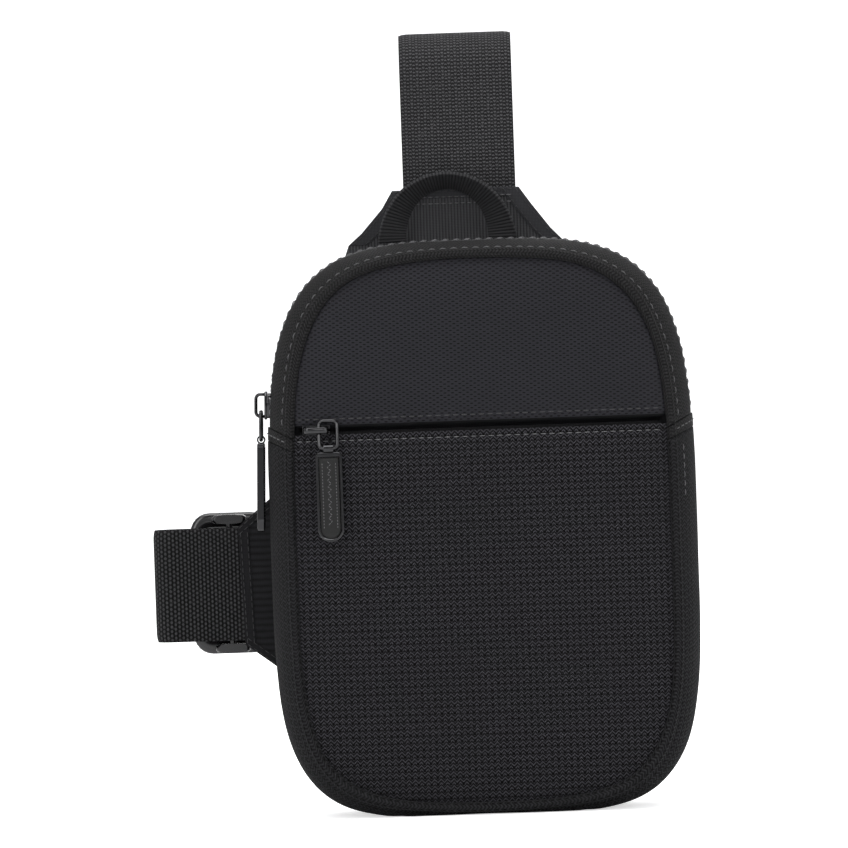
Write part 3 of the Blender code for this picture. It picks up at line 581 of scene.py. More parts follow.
def striped(tree, across, along):
    leaning = sums(tree, "ADD", across, sums(tree, "MULTIPLY", sums(tree, "PINGPONG", along, 1.1), 0.9))
    fine = use(tree, ribs, Across=leaning, Pitch=1.25)["Rib"]
    crossing = use(tree, ribs, Across=along, Pitch=0.9)["Rib"]
    crossed = sums(tree, "ADD", 0.4, sums(tree, "MULTIPLY", crossing, 0.6))
    raised = sums(tree, "MULTIPLY", sums(tree, "POWER", fine, 1.6), crossed)
    return sums(tree, "ADD", 0.08, sums(tree, "MULTIPLY", raised, 0.92))


def ribbed_knit(tree, across, along):
    leaning = sums(tree, "ADD", across, sums(tree, "PINGPONG", along, 1.0))
    yarn = sums(tree, "POWER", use(tree, ribs, Across=leaning, Pitch=1.3)["Rib"], 1.8)
    hole = use(tree, lattice, Across=across, Along=along, Pitch_across=2.6, Pitch_along=2.0,
               Shift=0.5, Width=0.17, Height=0.17)["Mark"]
    raised = sums(tree, "ADD", 0.1, sums(tree, "MULTIPLY", yarn, 0.9))
    return sums(tree, "MULTIPLY", raised, sums(tree, "SUBTRACT", 1.0, hole))


strip_cloth = cloth_look("strip_cloth", (0.0182, 0.0179, 0.0184), striped, 1.0, 0.35, 0.75, (0.8, 0.22), 0.01)
gusset_knit = cloth_look(
    "gusset_knit", (0.0163, 0.0163, 0.0175), ribbed_knit, 1.0, 0.3, 0.85, (0.8, 0.25), 0.01
)

top_start = direction_at(131.7 * MM)
OVER = steps(top_start, math.pi - top_start, 190)
low_start = direction_at(126.55 * MM)
UNDER = steps(math.pi - low_start, 2 * math.pi + low_start, 190)
front_depths = [y * MM for y in (-22.5, -21.8, -20, -18, -16, -14, -12, -10.8, -10.1, -9.7)]
rear_depths = [y * MM for y in (-0.3, 0.1, 0.8, 2, 4.5, 7, 10, 13, 16, 18.5, 20.5, 21.8, 22.4)]
for label, depths in (("front", front_depths), ("rear", rear_depths)):
    mesh, run = wall_strip(f"zip_strip_{label}_cloth", OVER, depths, 0.35 * MM, 0.12 * MM)
    strip = place(f"zip_strip_{label}_cloth", mesh, strip_cloth, "bag", "coated_cloth", CLOTH)
    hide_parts(f"zip_strip_{label}")
for label, y in (("seam", -20.6 * MM), ("front", -11.6 * MM), ("rear", 1.6 * MM)):
    line, facings = wall_line(OVER[1:-1], y)
    stitch_row(f"stitches_zip_{label}", line, facings, "bag", pitch=3.65 * MM, share=0.62, radius=0.23 * MM)

all_depths = [y * MM for y in (-22.5, -21.5, -19, -16, -12, -8, -5, -2, 2, 6, 10, 14, 17.5, 20, 21.8, 22.4)]
mesh, run = wall_strip("lower_gusset_cloth", UNDER, all_depths, 0.0, 0.12 * MM)
lower = place("lower_gusset_cloth", mesh, gusset_knit, "bag", "mesh_cloth", CLOTH)
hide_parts("lower_gusset")
for side in ("right", "left"):
    near, far = direction_at(126.9 * MM), direction_at(131.2 * MM)
    span = steps(near, far, 8) if side == "right" else steps(math.pi - far, math.pi - near, 8)
    mesh, run = wall_strip(f"gusset_joint_{side}_cloth", span, all_depths, 0.0, 0.05 * MM)
    joint = place(f"gusset_joint_{side}_cloth", mesh, strip_cloth, "bag", "coated_cloth", 2 * CLOTH)
    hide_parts(f"gusset_joint_{side}")
    line = [wall_point(span[4], y) for y in steps(-22 * MM, 21 * MM, 40)]
    facings = [Vector((math.cos(span[4]), 0, math.sin(span[4])))] * 41
    stitch_row(f"stitches_joint_{side}", line, facings, "bag", pitch=2.8 * MM)
line, facings = wall_line(steps(direction_at(104 * MM), direction_at(125 * MM), 20), -19 * MM)
stitch_row("stitches_gusset_right", line, facings, "bag", pitch=3.0 * MM)

# ---------------------------------------------------------------- main zip
# A size five coil zip in two woven tapes. Each coil is one bent nylon thread, sewn along the outer face of
# its tape; the loops stand just clear of the middle so that the slider's post can pass.

ARC_CENTRE, ARC_RADIUS, ARC_TOP_Z = Vector((-4 * MM, 0, 136 * MM)), 74.4 * MM, 178 * MM
GAP = 0.35 * MM
COIL_PITCH, COIL_SPREAD, COIL_SINK, NYLON_RADIUS = 1.8 * MM, 1.5 * MM, 0.57 * MM, 0.3 * MM
POINTS_A_TURN = 9


def zip_line(inset):
    """(point, outward) pairs along the zip at a depth below the crest, from right to left over the top."""
    start = direction_at(133.15 * MM)
    pairs = []
    for direction in steps(start, math.pi - start, 260):
        x, z = outline_point(direction, inset)
        if z <= ARC_TOP_Z:
            turn = math.atan2(z - ARC_CENTRE.z, abs(x) - ARC_CENTRE.x)
            radius = ARC_RADIUS - inset
            x = math.copysign(ARC_CENTRE.x + radius * math.cos(turn), x)
            z = ARC_CENTRE.z + radius * math.sin(turn)
        pairs.append((Vector((x, ZIP_Y, z)), Vector((math.cos(direction), 0, math.sin(direction)))))
    return pairs


def solid_curve(name, lines, radius, closed=False, roundness=2):
    """Round wire along one or more lines of points, as a mesh."""
    curve = bpy.data.curves.new(name, "CURVE")
    curve.dimensions = "3D"
    curve.bevel_depth = radius
    curve.bevel_resolution = roundness
    curve.use_fill_caps = True
    for line in lines:
        spline = curve.splines.new("POLY")
        spline.points.add(len(line) - 1)
        for knot, point in zip(spline.points, line):
            knot.co = (*point, 1)
        spline.use_cyclic_u = closed
    return curve_mesh(name, curve)


def curve_mesh(name, curve):
    maker = bpy.data.objects.new(name + "_maker", curve)
    bpy.context.scene.collection.objects.link(maker)
    bpy.context.view_layer.update()
    mesh = bpy.data.meshes.new_from_object(maker.evaluated_get(bpy.context.evaluated_depsgraph_get()))
    bpy.data.objects.remove(maker)
    bpy.data.curves.remove(curve)
    mesh.name = name
    for face in mesh.polygons:
        face.use_smooth = True
    return mesh


def cloudy(scale, detail):
    """A relief of soft noise that lies in the object's own space."""

    def relief_of(tree):
        where = lay(tree, "ShaderNodeTexCoord").outputs["Object"]
        given = {"Vector": where, "Scale": scale, "Detail": detail}
        return lay(tree, "ShaderNodeTexNoise", given).outputs["Fac"]

    return relief_of


nylon = dressed("zip_nylon", (0.035, 0.035, 0.037), cloudy(420.0, 2.0), 0.5, 0.05, 0.36, (0.2, 0.05))

crest = zip_line(GAP)
crest_length = [0.0]
for (before, _), (after, _) in zip(crest, crest[1:]):
    crest_length.append(crest_length[-1] + (after - before).length)


def crest_at(distance):
    for i in range(1, len(crest)):
        if distance <= crest_length[i] or i == len(crest) - 1:
            part = (distance - crest_length[i - 1]) / (crest_length[i] - crest_length[i - 1])
            return crest[i - 1][0].lerp(crest[i][0], part), crest[i - 1][1].lerp(crest[i][1], part)


for side, label in ((-1, "front"), (1, "rear")):
    turns = int((crest_length[-1] - 1.5 * MM) / COIL_PITCH)
    line = []
    half_a_tooth = COIL_PITCH / 2 if side > 0 else 0
    for n in range(turns * POINTS_A_TURN):
        turn = 2 * math.pi * n / POINTS_A_TURN
        point, outward = crest_at(0.8 * MM + COIL_PITCH * n / POINTS_A_TURN + half_a_tooth)
        spread = COIL_SPREAD + 0.6 * MM * math.cos(turn)
        lift = -COIL_SINK - 0.28 * MM * math.sin(turn)
        line.append(point + outward * lift + Vector((0, side * spread, 0)))
    name = f"main_coil_{label}_nylon"
    coil = place(name, solid_curve(name, [line], NYLON_RADIUS, roundness=1), nylon, "bag", "coil_nylon")
    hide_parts(f"main_coil_{label}")

# ---------------------------------------------------------------- painted shade behind the main zip
# A strip of dark woven cloth behind the main zip, as long as the zip. It is sewn to the front tape only, so
# that the zip still opens. It is painted shade: a dark sheet standing for the shade inside the bag between
# the coils.


def plain_weave(tree, across, along):
    over = use(tree, ribs, Across=across, Pitch=0.5)["Rib"]
    under = use(tree, ribs, Across=along, Pitch=0.5)["Rib"]
    return sums(tree, "MULTIPLY", over, under)


# painted shade: the sheet's near-black colour stands for the shade inside the bag, seen between the coils
gap_shade_cloth = cloth_look("gap_shade_cloth", (0.01, 0.01, 0.011), plain_weave, 0.5, 0.04, 0.8, (0.4, 0.1), 0.01)
SHADE_SHEET_Y = [y * MM for y in (-13.0, -11.5, -9.5, -7.5, -5, -2.5, -0.5, 1.5, 2.5)]
SHADE_SHEET_DEPTH = [3.3, 3.9, 4.4, 4.6, 4.6, 4.6, 4.6, 4.6, 4.6]
rows, marks, travelled, last = [], [], 0.0, None
for direction in steps(direction_at(134.5 * MM), math.pi - direction_at(134.5 * MM), 120):
    middle = wall_point(direction, ZIP_Y)
    travelled += (middle - last).length if last else 0.0
    last = middle
    rows.append([wall_point(direction, y, depth * MM + 0.1 * MM) for y, depth in zip(SHADE_SHEET_Y, SHADE_SHEET_DEPTH)])
    marks.append([(travelled, y) for y in SHADE_SHEET_Y])
gap_shade_sheet = place(
    "zip_gap_shade_cloth", quad_grid("zip_gap_shade_cloth", rows, marks), gap_shade_cloth, "bag", "lining_cloth", 0.5 * MM
)

# ---------------------------------------------------------------- linings, tapes and bindings
# Inside the pouch: a thin woven lining sewn in at the seams, with binding tape over their raw edges and a
# flat slip pocket, and the zips' herringbone tapes, which are sewn under the rolled edges of the cloth.


def tape_weave(tree, across, along):
    chevron = sums(
        tree, "ADD", across, sums(tree, "MULTIPLY", use(tree, ribs, Across=along, Pitch=1.6)["Rib"], 0.8)
    )
    return sums(
        tree, "ADD", 0.15, sums(tree, "MULTIPLY", use(tree, ribs, Across=chevron, Pitch=0.55)["Rib"], 0.85)
    )


def by_place(look):
    """Turns a cloth material to follow the object's own X and Z, for pieces that have no cut pattern."""
    tree = look.node_tree
    uv = next(node for node in tree.nodes if node.bl_idname == "ShaderNodeUVMap")
    where = lay(tree, "ShaderNodeTexCoord").outputs["Object"]
    parts = lay(tree, "ShaderNodeSeparateXYZ", {0: where}).outputs
    flat = lay(tree, "ShaderNodeCombineXYZ", {"X": parts["X"], "Y": parts["Z"]}).outputs[0]
    for link in list(uv.outputs["UV"].links):
        tree.links.new(flat, link.to_socket)
    tree.nodes.remove(uv)
    return look


lining_cloth = by_place(
    cloth_look("lining_cloth", (0.016, 0.016, 0.018), plain_weave, 0.5, 0.04, 0.75, (0.4, 0.1), 0.02)
)
tape_cloth = by_place(
    cloth_look("tape_cloth", (0.013, 0.013, 0.014), tape_weave, 0.6, 0.03, 0.8, (0.5, 0.12), 0.02)
)


def finish_node(name, look):
    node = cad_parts[name]
    for holder in node.material_slots:
        holder.material = look


for name in (
    "pocket_back", "gusset_lining", "seam_binding_front", "seam_binding_rear", "back_lining", "inner_pocket"
):
    finish_node(name, lining_cloth)
for name in ("pocket_tape_upper", "pocket_tape_lower", "main_tape_front", "main_tape_rear"):
    finish_node(name, tape_cloth)
for name in ("pocket_coil_upper", "pocket_coil_lower"):
    finish_node(name, nylon)

# ---------------------------------------------------------------- padded back
# Foam between knitted mesh and the lining, sewn in at the back seam and quilted by three channels. The foam
# swells between the seams, so the cloth is let out under a little pressure before the channels are sewn down.

BACK_RIM_Y, BACK_DOME = BACK_SEAM_Y + GAP, 6.0 * MM
PAD_FACE_Y = 17.0 * MM
CHANNELS = (60 * MM, 104 * MM, 148 * MM)


def channel_z(level, x):
    """The height of a quilted channel, which arches up towards the bag's middle line."""
    return level + 5 * MM * (1 - (x / HALF_WIDTH) ** 2)



def baked(piece):
    """Applies a piece's modifiers to its mesh."""
    bpy.context.view_layer.update()
    mesh = bpy.data.meshes.new_from_object(piece.evaluated_get(bpy.context.evaluated_depsgraph_get()))
    old = piece.data
    piece.modifiers.clear()
    piece.data = mesh
    bpy.data.meshes.remove(old)
    return mesh


def closed_pad():
    """The pad before it swells: a crowned outer face and a flat inner face, joined at the seam."""
    rows = squircle_grid(30, 40)
    shape = bmesh.new()
    outer, inner = [], []
    for row in rows:
        outer_row, inner_row = [], []
        for x, z in row:
            share = share_of(x, z)
            x, z = x * 0.985, MID_Z + (z - MID_Z) * 0.99
            crown = BACK_RIM_Y + (BACK_DOME - 0.8 * MM) * (1 - share**9)
            outer_row.append(shape.verts.new((x, crown, z)))
            depth = PAD_FACE_Y + 0.8 * MM + (BACK_RIM_Y - PAD_FACE_Y - 2.4 * MM) * share**12
            inner_row.append(shape.verts.new((x, depth, z)))
        outer.append(outer_row)
        inner.append(inner_row)
    for low, high in zip(outer, outer[1:]):
        for a, b, c, d in zip(low, low[1:], high[1:], high):
            shape.faces.new((d, c, b, a))
    for low, high in zip(inner, inner[1:]):
        for a, b, c, d in zip(low, low[1:], high[1:], high):
            shape.faces.new((a, b, c, d))

    def border(grid):
        edge = list(grid[0]) + [row[-1] for row in grid[1:]]
        return edge + list(grid[-1][-2::-1]) + [row[0] for row in grid[-2:0:-1]]

    near, far = border(inner), border(outer)
    for i in range(len(near)):
        j = (i + 1) % len(near)
        shape.faces.new((near[j], near[i], far[i], far[j]))
    bmesh.ops.recalc_face_normals(shape, faces=shape.faces)
    return finished_mesh(shape, "back_pad")


back_knit = by_place(
    cloth_look("back_knit", (0.034, 0.034, 0.038), holed_knit, 1.0, 0.3, 0.85, (0.9, 0.3), 0.01)
)
pad = place("back_pad", closed_pad(), back_knit, "bag", "mesh_cloth")
remesh = pad.modifiers.new("even_mesh", "REMESH")
remesh.mode = "VOXEL"
remesh.voxel_size = 4.2 * MM
baked(pad)
start = [vertex.co.copy() for vertex in pad.data.vertices]
swelling = pad.modifiers.new("swelling", "CLOTH")
swelling.settings.quality = 5
swelling.settings.mass = 0.15
swelling.settings.use_pressure = True
swelling.settings.uniform_pressure_force = 4
swelling.settings.effector_weights.gravity = 0
swelling.collision_settings.use_collision = False
swelling.point_cache.frame_start = 1
swelling.point_cache.frame_end = 20
for moment in range(1, 21):
    bpy.context.scene.frame_set(moment)
baked(pad)
for vertex, rest in zip(pad.data.vertices, start):
    share = share_of(rest.x, rest.z)
    cap = 0.3 * MM + 2.2 * MM * (1 - share**6) * (rest.y > BACK_RIM_Y)
    moved = vertex.co - rest
    if moved.length > cap:
        moved = moved.normalized() * cap
    vertex.co = rest + moved
bpy.context.scene.frame_set(1)
finer = pad.modifiers.new("finer", "SUBSURF")
finer.levels = finer.render_levels = 2
baked(pad)
for vertex in pad.data.vertices:
    x, y, z = vertex.co
    share = share_of(x, z)
    if y > BACK_RIM_Y - 1 * MM:
        sewn = sum(math.exp(-(((z - channel_z(level, x)) / (1.9 * MM)) ** 2)) for level in CHANNELS)
        vertex.co.y -= 1.5 * MM * min(sewn, 1.0) * (1 - share**8)
        vertex.co.y = min(max(vertex.co.y, PAD_FACE_Y), 30.6 * MM)
    else:
        vertex.co.y = max(vertex.co.y, PAD_FACE_Y)
for face in pad.data.polygons:
    face.use_smooth = True
pad.data.materials.clear()
pad.data.materials.append(back_knit)
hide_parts("back_cover", "back_foam")
for n, level in enumerate(CHANNELS):
    line = []
    for x in steps(-58 * MM, 58 * MM, 40):
        z = channel_z(level, x)
        spot = min(
            pad.data.vertices, key=lambda v: (v.co.x - x) ** 2 + (v.co.z - z) ** 2 + (v.co.y < BACK_RIM_Y)
        )
        line.append((x, spot.co.y + 0.1 * MM, z))
    stitch_row(f"stitches_channel_{n}", line, [(0, 1, 0)] * 41, "bag", pitch=3.2 * MM)

# A turned edge closes the seam round the back: a narrow tape folded over the edges of pad and side wall.

ring_line = []
for direction in steps(0, 2 * math.pi, 160)[:-1]:
    x, z = outline_point(direction, seam_inset(direction) + 0.25 * MM)
    ring_line.append((x, 22.15 * MM, max(z, 0.75 * MM)))
rolled = solid_curve("back_seam_tape", [ring_line], 0.7 * MM, closed=True)
place("back_seam_tape", rolled, tape_cloth, "bag", "zip_cloth")

# ---------------------------------------------------------------- yoke and wing
# Two stiff tabs of coated cloth sewn into the back seam: the yoke on top holds the strap's end and the wing
# on the left holds the adjuster webbing. Each is two layers round the webbing, with hems that are turned and
# stitched.

STANDING = Matrix.Rotation(math.pi / 2, 4, "X")
SIDEWAYS = Matrix.Rotation(math.pi / 2, 4, "Z") @ STANDING


def cut_plate(name, outlines, thickness, edge, matrix=None):
    """A flat plate from outlines in its own XY plane, with rounded edges, its holes after its outside."""
    curve = bpy.data.curves.new(name, "CURVE")
    curve.dimensions = "2D"
    curve.fill_mode = "BOTH"
    curve.extrude = thickness / 2 - edge
    curve.bevel_depth = edge
    curve.bevel_resolution = 2
    curve.offset = -edge
    for outline in outlines:
        spline = curve.splines.new("POLY")
        spline.points.add(len(outline) - 1)
        for knot, point in zip(spline.points, outline):
            knot.co = (*point, 0, 1)
        spline.use_cyclic_u = True
    mesh = curve_mesh(name, curve)
    shape = bmesh.new()
    shape.from_mesh(mesh)
    bmesh.ops.remove_doubles(shape, verts=shape.verts, dist=1e-6)
    shape.to_mesh(mesh)
    shape.free()
    for face in mesh.polygons:
        face.use_smooth = False
    if matrix is not None:
        mesh.transform(matrix)
    return mesh


def flat_area(outline):
    pairs = zip(outline, outline[1:] + outline[:1])
    return abs(sum(a[0] * b[1] - b[0] * a[1] for a, b in pairs)) / 2


def seam_edge(first, last, count):
    points = []
    for direction in steps(math.radians(first), math.radians(last), count):
        points.append(outline_point(direction, seam_inset(direction) - 0.6 * MM))
    return points


def ribbed_upright(tree, across, along):
    rib = use(tree, ribs, Across=across, Pitch=1.05)["Rib"]
    pick = use(tree, ribs, Across=along, Pitch=0.55)["Rib"]
    return sums(tree, "ADD", sums(tree, "MULTIPLY", rib, 0.75), sums(tree, "MULTIPLY", pick, 0.25))


def ribbed_level(tree, across, along):
    rib = use(tree, ribs, Across=along, Pitch=2.2)["Rib"]
    pick = use(tree, ribs, Across=across, Pitch=0.6)["Rib"]
    return sums(tree, "ADD", sums(tree, "MULTIPLY", rib, 0.8), sums(tree, "MULTIPLY", pick, 0.2))


yoke_cloth, wing_cloth, hem_cloth, wing_hem_cloth = (
    by_place(cloth_look(*values, 0.01))
    for values in (
        ("yoke_cloth", (0.0546, 0.0546, 0.0578), ribbed_upright, 0.85, 0.06, 0.7, (0.8, 0.25)),
        ("wing_cloth", (0.0113, 0.0113, 0.0126), ribbed_level, 0.85, 0.05, 0.7, (0.8, 0.3)),
        ("hem_cloth", (0.04, 0.04, 0.044), plain_weave, 0.6, 0.06, 0.66, (0.5, 0.12)),
        ("wing_hem_cloth", (0.0125, 0.0125, 0.014), plain_weave, 0.6, 0.05, 0.7, (0.5, 0.12)),
    )
)
YOKE = [(-42.5, 191), (-37.9, 195), (-30.8, 203), (-27.2, 209)]
YOKE += [(15.6, 209), (19.8, 203), (25.8, 195), (29.6, 191)]
YOKE = [(x * MM, z * MM) for x, z in YOKE]
yoke_outline = seam_edge(64, 119, 14) + YOKE
WING_MID_Z, WING_EDGE_X = 77.8 * MM, -83.2 * MM
WING = [(WING_EDGE_X + 1.2 * MM, WING_MID_Z - 20.4 * MM), (WING_EDGE_X, WING_MID_Z + 19.4 * MM)]
wing_outline = seam_edge(166, 219, 12) + WING
hems = {
    "yoke": [(YOKE[:4], (6.5 * MM, 0)), (YOKE[3:5], (0, -3 * MM)), (YOKE[4:], (-6.5 * MM, 0))],
    "wing": [
        ([wing_outline[12], WING[0]], (0, 3.2 * MM)),
        ([WING[0], WING[1]], (3.6 * MM, 0)),
        ([WING[1], wing_outline[0]], (0, -3.2 * MM)),
    ],
}
for tab, outline, look, hem_look in (
    ("yoke", yoke_outline, yoke_cloth, hem_cloth),
    ("wing", wing_outline, wing_cloth, wing_hem_cloth),
):
    for layer, middle_y, outward in (("front", 21.55 * MM, -1), ("rear", 24.75 * MM, 1)):
        lift = Matrix.Translation((0, middle_y, 0)) @ STANDING
        name = f"{tab}_{layer}_cloth"
        ply = place(name, cut_plate(name, [outline], 1.1 * MM, 0.3 * MM, lift), look, "bag", "coated_cloth")
        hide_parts(f"{tab}_{layer}")
        across = max(x for x, _ in outline) - min(x for x, _ in outline)
        flat_area(outline)
        for n, (line, shift) in enumerate(hems[tab]):
            inner = [(x + shift[0], z + shift[1]) for x, z in line]
            band_y = middle_y + outward * (0.6 + 0.04 * n) * MM
            band = cut_plate(
                f"{tab}_{layer}_hem_{n}", [line + inner[::-1]], 0.4 * MM, 0.12 * MM,
                Matrix.Translation((0, band_y, 0)) @ STANDING,
            )
            place(f"{tab}_{layer}_hem_{n}", band, hem_look, "bag", "coated_cloth")
            for share, tag in ((0.2, "edge"), (0.84, "inner")):
                run_y = band_y + outward * 0.24 * MM
                run = [(x + shift[0] * share, run_y, z + shift[1] * share) for x, z in line]
                stitch_row(
                    f"stitches_{tab}_{layer}_{n}_{tag}", run, [(0, outward, 0)] * len(run), "bag",
                    pitch=2.4 * MM, radius=0.14 * MM, look=dull_thread,
                )

# ---------------------------------------------------------------- strap and adjuster webbing
# One length of 38 mm polyester webbing leaves the yoke, turns over at the top, is folded up behind the back
# and is sewn round the tri-glide's bar. A second, short length leaves the wing, turns back round and ends
# behind the bag.

WEBBING, WEBBING_HALF = 1.4 * MM, 19 * MM
STRAP_X, STRAP_Y = -4.4 * MM, 23.15 * MM


def arc(centre, radius, start, stop, count):
    angles = [math.radians(start + (stop - start) * i / count) for i in range(count + 1)]
    return [(centre[0] + radius * math.cos(a), centre[1] + radius * math.sin(a)) for a in angles]


def dense(path, gap):
    """Adds points to a line so that none are further apart than gap."""
    points = [Vector(path[0])]
    for point in path[1:]:
        step = Vector(point) - points[-1]
        base = points[-1].copy()
        count = max(1, math.ceil(step.length / gap))
        points += [base + step * (k / count) for k in range(1, count + 1)]
    return points


ACROSS = [-1, -0.985, -0.94, -0.86, -0.7, -0.45, -0.2, 0, 0.2, 0.45, 0.7, 0.86, 0.94, 0.985, 1]


def webbing_mesh(name, strands, outwards):
    """Webbing from strands of points laid side by side, thick to both sides, thinner at its selvedges."""
    count, middle = len(strands[0]), strands[len(strands) // 2]
    travelled = [0.0]
    for i in range(1, count):
        travelled.append(travelled[-1] + (middle[i] - middle[i - 1]).length)
    rows, marks = [], []
    for i in range(count):
        top, bottom, top_mark, bottom_mark = [], [], [], []
        for share, strand in zip(ACROSS, strands):
            before, after = strand[max(i - 1, 0)], strand[min(i + 1, count - 1)]
            sideways = (strands[-1][i] - strands[0][i]).normalized()
            normal = (after - before).cross(sideways).normalized() * outwards
            half = WEBBING / 2 * (1 - 0.75 * max(0.0, (abs(share) - 0.8) / 0.2) ** 3)
            top.append(strand[i] + normal * half)
            bottom.append(strand[i] - normal * half)
            top_mark.append((share * WEBBING_HALF, travelled[i]))
            bottom_mark.append((share * WEBBING_HALF + 0.1, travelled[i]))
        rows.append(top + bottom[::-1] + [top[0]])
        marks.append(top_mark + bottom_mark[::-1] + [top_mark[0]])
    shape = bmesh.new()
    shape.from_mesh(quad_grid(name, rows, marks))
    bmesh.ops.remove_doubles(shape, verts=shape.verts, dist=1e-7)
    bmesh.ops.holes_fill(shape, edges=shape.edges, sides=64)
    bmesh.ops.recalc_face_normals(shape, faces=shape.faces)
    return finished_mesh(shape, name), travelled[-1]


def basket_weave(tree, across, along):
    leaning = sums(tree, "ADD", along, sums(tree, "MULTIPLY", sums(tree, "PINGPONG", across, 1.075), 0.5))
    mark = use(tree, lattice, Across=across, Along=leaning, Pitch_across=2.15, Pitch_along=0.6,
               Shift=0.5, Width=0.2, Height=0.4)["Mark"]
    column = use(tree, ribs, Across=across, Pitch=2.15)["Rib"]
    ground = sums(tree, "ADD", 0.12, sums(tree, "MULTIPLY", column, 0.12))
    return sums(tree, "ADD", ground, sums(tree, "MULTIPLY", mark, 0.95))


def ribbed_webbing(tree, across, along):
    rib = use(tree, ribs, Across=along, Pitch=1.27)["Rib"]
    pick = use(tree, lattice, Across=across, Along=along, Pitch_across=1.5, Pitch_along=1.27,
               Shift=0.5, Width=0.3, Height=0.3)["Mark"]
    valley = sums(tree, "MULTIPLY", sums(tree, "POWER", rib, 1.5), 0.18)
    return sums(tree, "ADD", 0.03, sums(tree, "ADD", valley, sums(tree, "MULTIPLY", pick, 0.95)))


strap_cloth = cloth_look(
    "strap_cloth", (0.054, 0.0535, 0.0562), basket_weave, 1.0, 0.3, 0.78, (0.8, 0.25), 0.01
)
adjuster_cloth = cloth_look(
    "adjuster_cloth", (0.031, 0.031, 0.0323), ribbed_webbing, 1.0, 0.3, 0.78, (0.8, 0.25), 0.01
)

HANK = [y * MM for y in (45.0, 42.5, 40.0, 37.5, 35.0)]
BEND, HANK_LOW, HANK_HIGH = 1.25 * MM, 2.1 * MM, 132.1 * MM
RUN_Y, BAR_X, EYE_RADIUS = 32.5 * MM, -86.5 * MM, 2.15 * MM
turn_radius = (HANK[0] - STRAP_Y) / 2
down = [(STRAP_Y, 191.5 * MM)] + arc((STRAP_Y + turn_radius, 250.4 * MM), turn_radius, 180, 0, 26)
for y, low_fold in zip(HANK, (True, False, True, False)):
    down += arc((y - BEND, HANK_LOW if low_fold else HANK_HIGH), BEND, 0, -180 if low_fold else 180, 8)
down = dense(down, 4 * MM)
bar_y = RUN_Y - EYE_RADIUS
strands = []
for share in ACROSS:
    x = STRAP_X + share * WEBBING_HALF
    level = WING_MID_Z + share * WEBBING_HALF
    strand = [Vector((x, y, z)) for y, z in down]
    last_z = down[-1].y
    strand += [Vector((x, HANK[4], last_z + (level - last_z) * k / 14)) for k in range(1, 15)]
    for angle in (45, 90, 135):
        a = math.radians(angle)
        out = BEND * math.sin(a)
        strand.append(Vector((x + out * 0.7, 33.75 * MM + BEND * math.cos(a), level - out * 0.7)))
    strand += [Vector((x + (BAR_X - x) * k / 22, RUN_Y, level)) for k in range(23)]
    strand += [Vector((px, py, level)) for px, py in arc((BAR_X, bar_y), EYE_RADIUS, 90, 270, 12)[1:]]
    strand += [Vector((BAR_X + 9.5 * MM * k / 3, bar_y - EYE_RADIUS, level)) for k in range(1, 4)]
    strands.append(strand)
mesh, strap_length = webbing_mesh("strap_webbing_cloth", strands, 1)
strap = place("strap_webbing_cloth", mesh, strap_cloth, "bag", "webbing_cloth")
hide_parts("strap_webbing")
for n, level in enumerate((204.2 * MM, 206.4 * MM)):
    line = [(x, 20.55 * MM, level) for x in steps(-22 * MM, 13.5 * MM, 12)]
    stitch_row(f"stitches_strap_{n}", line, [(0, -1, 0)] * 13, "bag", pitch=2.2 * MM)
line = [(BAR_X + 6.5 * MM, RUN_Y + 0.7 * MM, z) for z in steps(WING_MID_Z - 17 * MM, WING_MID_Z + 17 * MM, 8)]
stitch_row("stitches_tri_glide_eye", line, [(0, 1, 0)] * 9, "bag", pitch=2.2 * MM)

LOOP_TURN_X, RETURN_Y = -106 * MM, 34.4 * MM
half_turn = (RETURN_Y - STRAP_Y) / 2
around = [(-68 * MM, STRAP_Y)] + arc((LOOP_TURN_X, STRAP_Y + half_turn), half_turn, 270, 90, 18)
around = dense(around + [(-42 * MM, RETURN_Y)], 3 * MM)
strands = [[Vector((x, y, WING_MID_Z + share * WEBBING_HALF)) for x, y in around] for share in ACROSS]
mesh, adjuster_length = webbing_mesh("adjuster_webbing_cloth", strands, 1)
adjuster = place("adjuster_webbing_cloth", mesh, adjuster_cloth, "bag", "webbing_cloth")
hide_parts("adjuster_webbing")

# ---------------------------------------------------------------- tri-glide
# One glossy nylon moulding: a rounded frame with a bar across its middle, set back a little, that the strap's
# end is sewn round. The adjuster webbing lies over the frame's front.

plastic = dressed("glossy_moulding", (0.012, 0.012, 0.013), cloudy(260.0, 4.0), 0.3, 0.02, 0.17, (0.12, 0.08))


def swept_bar(name, path, ups, width, thick, closed=False, square=2.6, sides=16):
    """A bar of rounded section along a path. ups gives the direction of its thickness at each point."""
    shape = bmesh.new()
    rings, count = [], len(path)
    for i, point in enumerate(path):
        point, up = Vector(point), Vector(ups[i]).normalized()
        before = Vector(path[i - 1] if closed or i > 0 else path[0])
        after = Vector(path[(i + 1) % count] if closed or i < count - 1 else path[-1])
        along = (after - before).normalized()
        side = along.cross(up).normalized()
        wide = width[i] if isinstance(width, (list, tuple)) else width
        ring = []
        for k in range(sides):
            a = 2 * math.pi * k / sides
            c, s = math.cos(a), math.sin(a)
            swell = (abs(c) ** square + abs(s) ** square) ** (-1 / square)
            ring.append(shape.verts.new(point + side * c * swell * wide / 2 + up * s * swell * thick / 2))
        rings.append(ring)
    pairs = list(zip(rings, rings[1:])) + ([(rings[-1], rings[0])] if closed else [])
    bridge(shape, pairs)
    if not closed:
        shape.faces.new(rings[0][::-1])
        shape.faces.new(rings[-1])
    bmesh.ops.recalc_face_normals(shape, faces=shape.faces)
    return finished_mesh(shape, name)


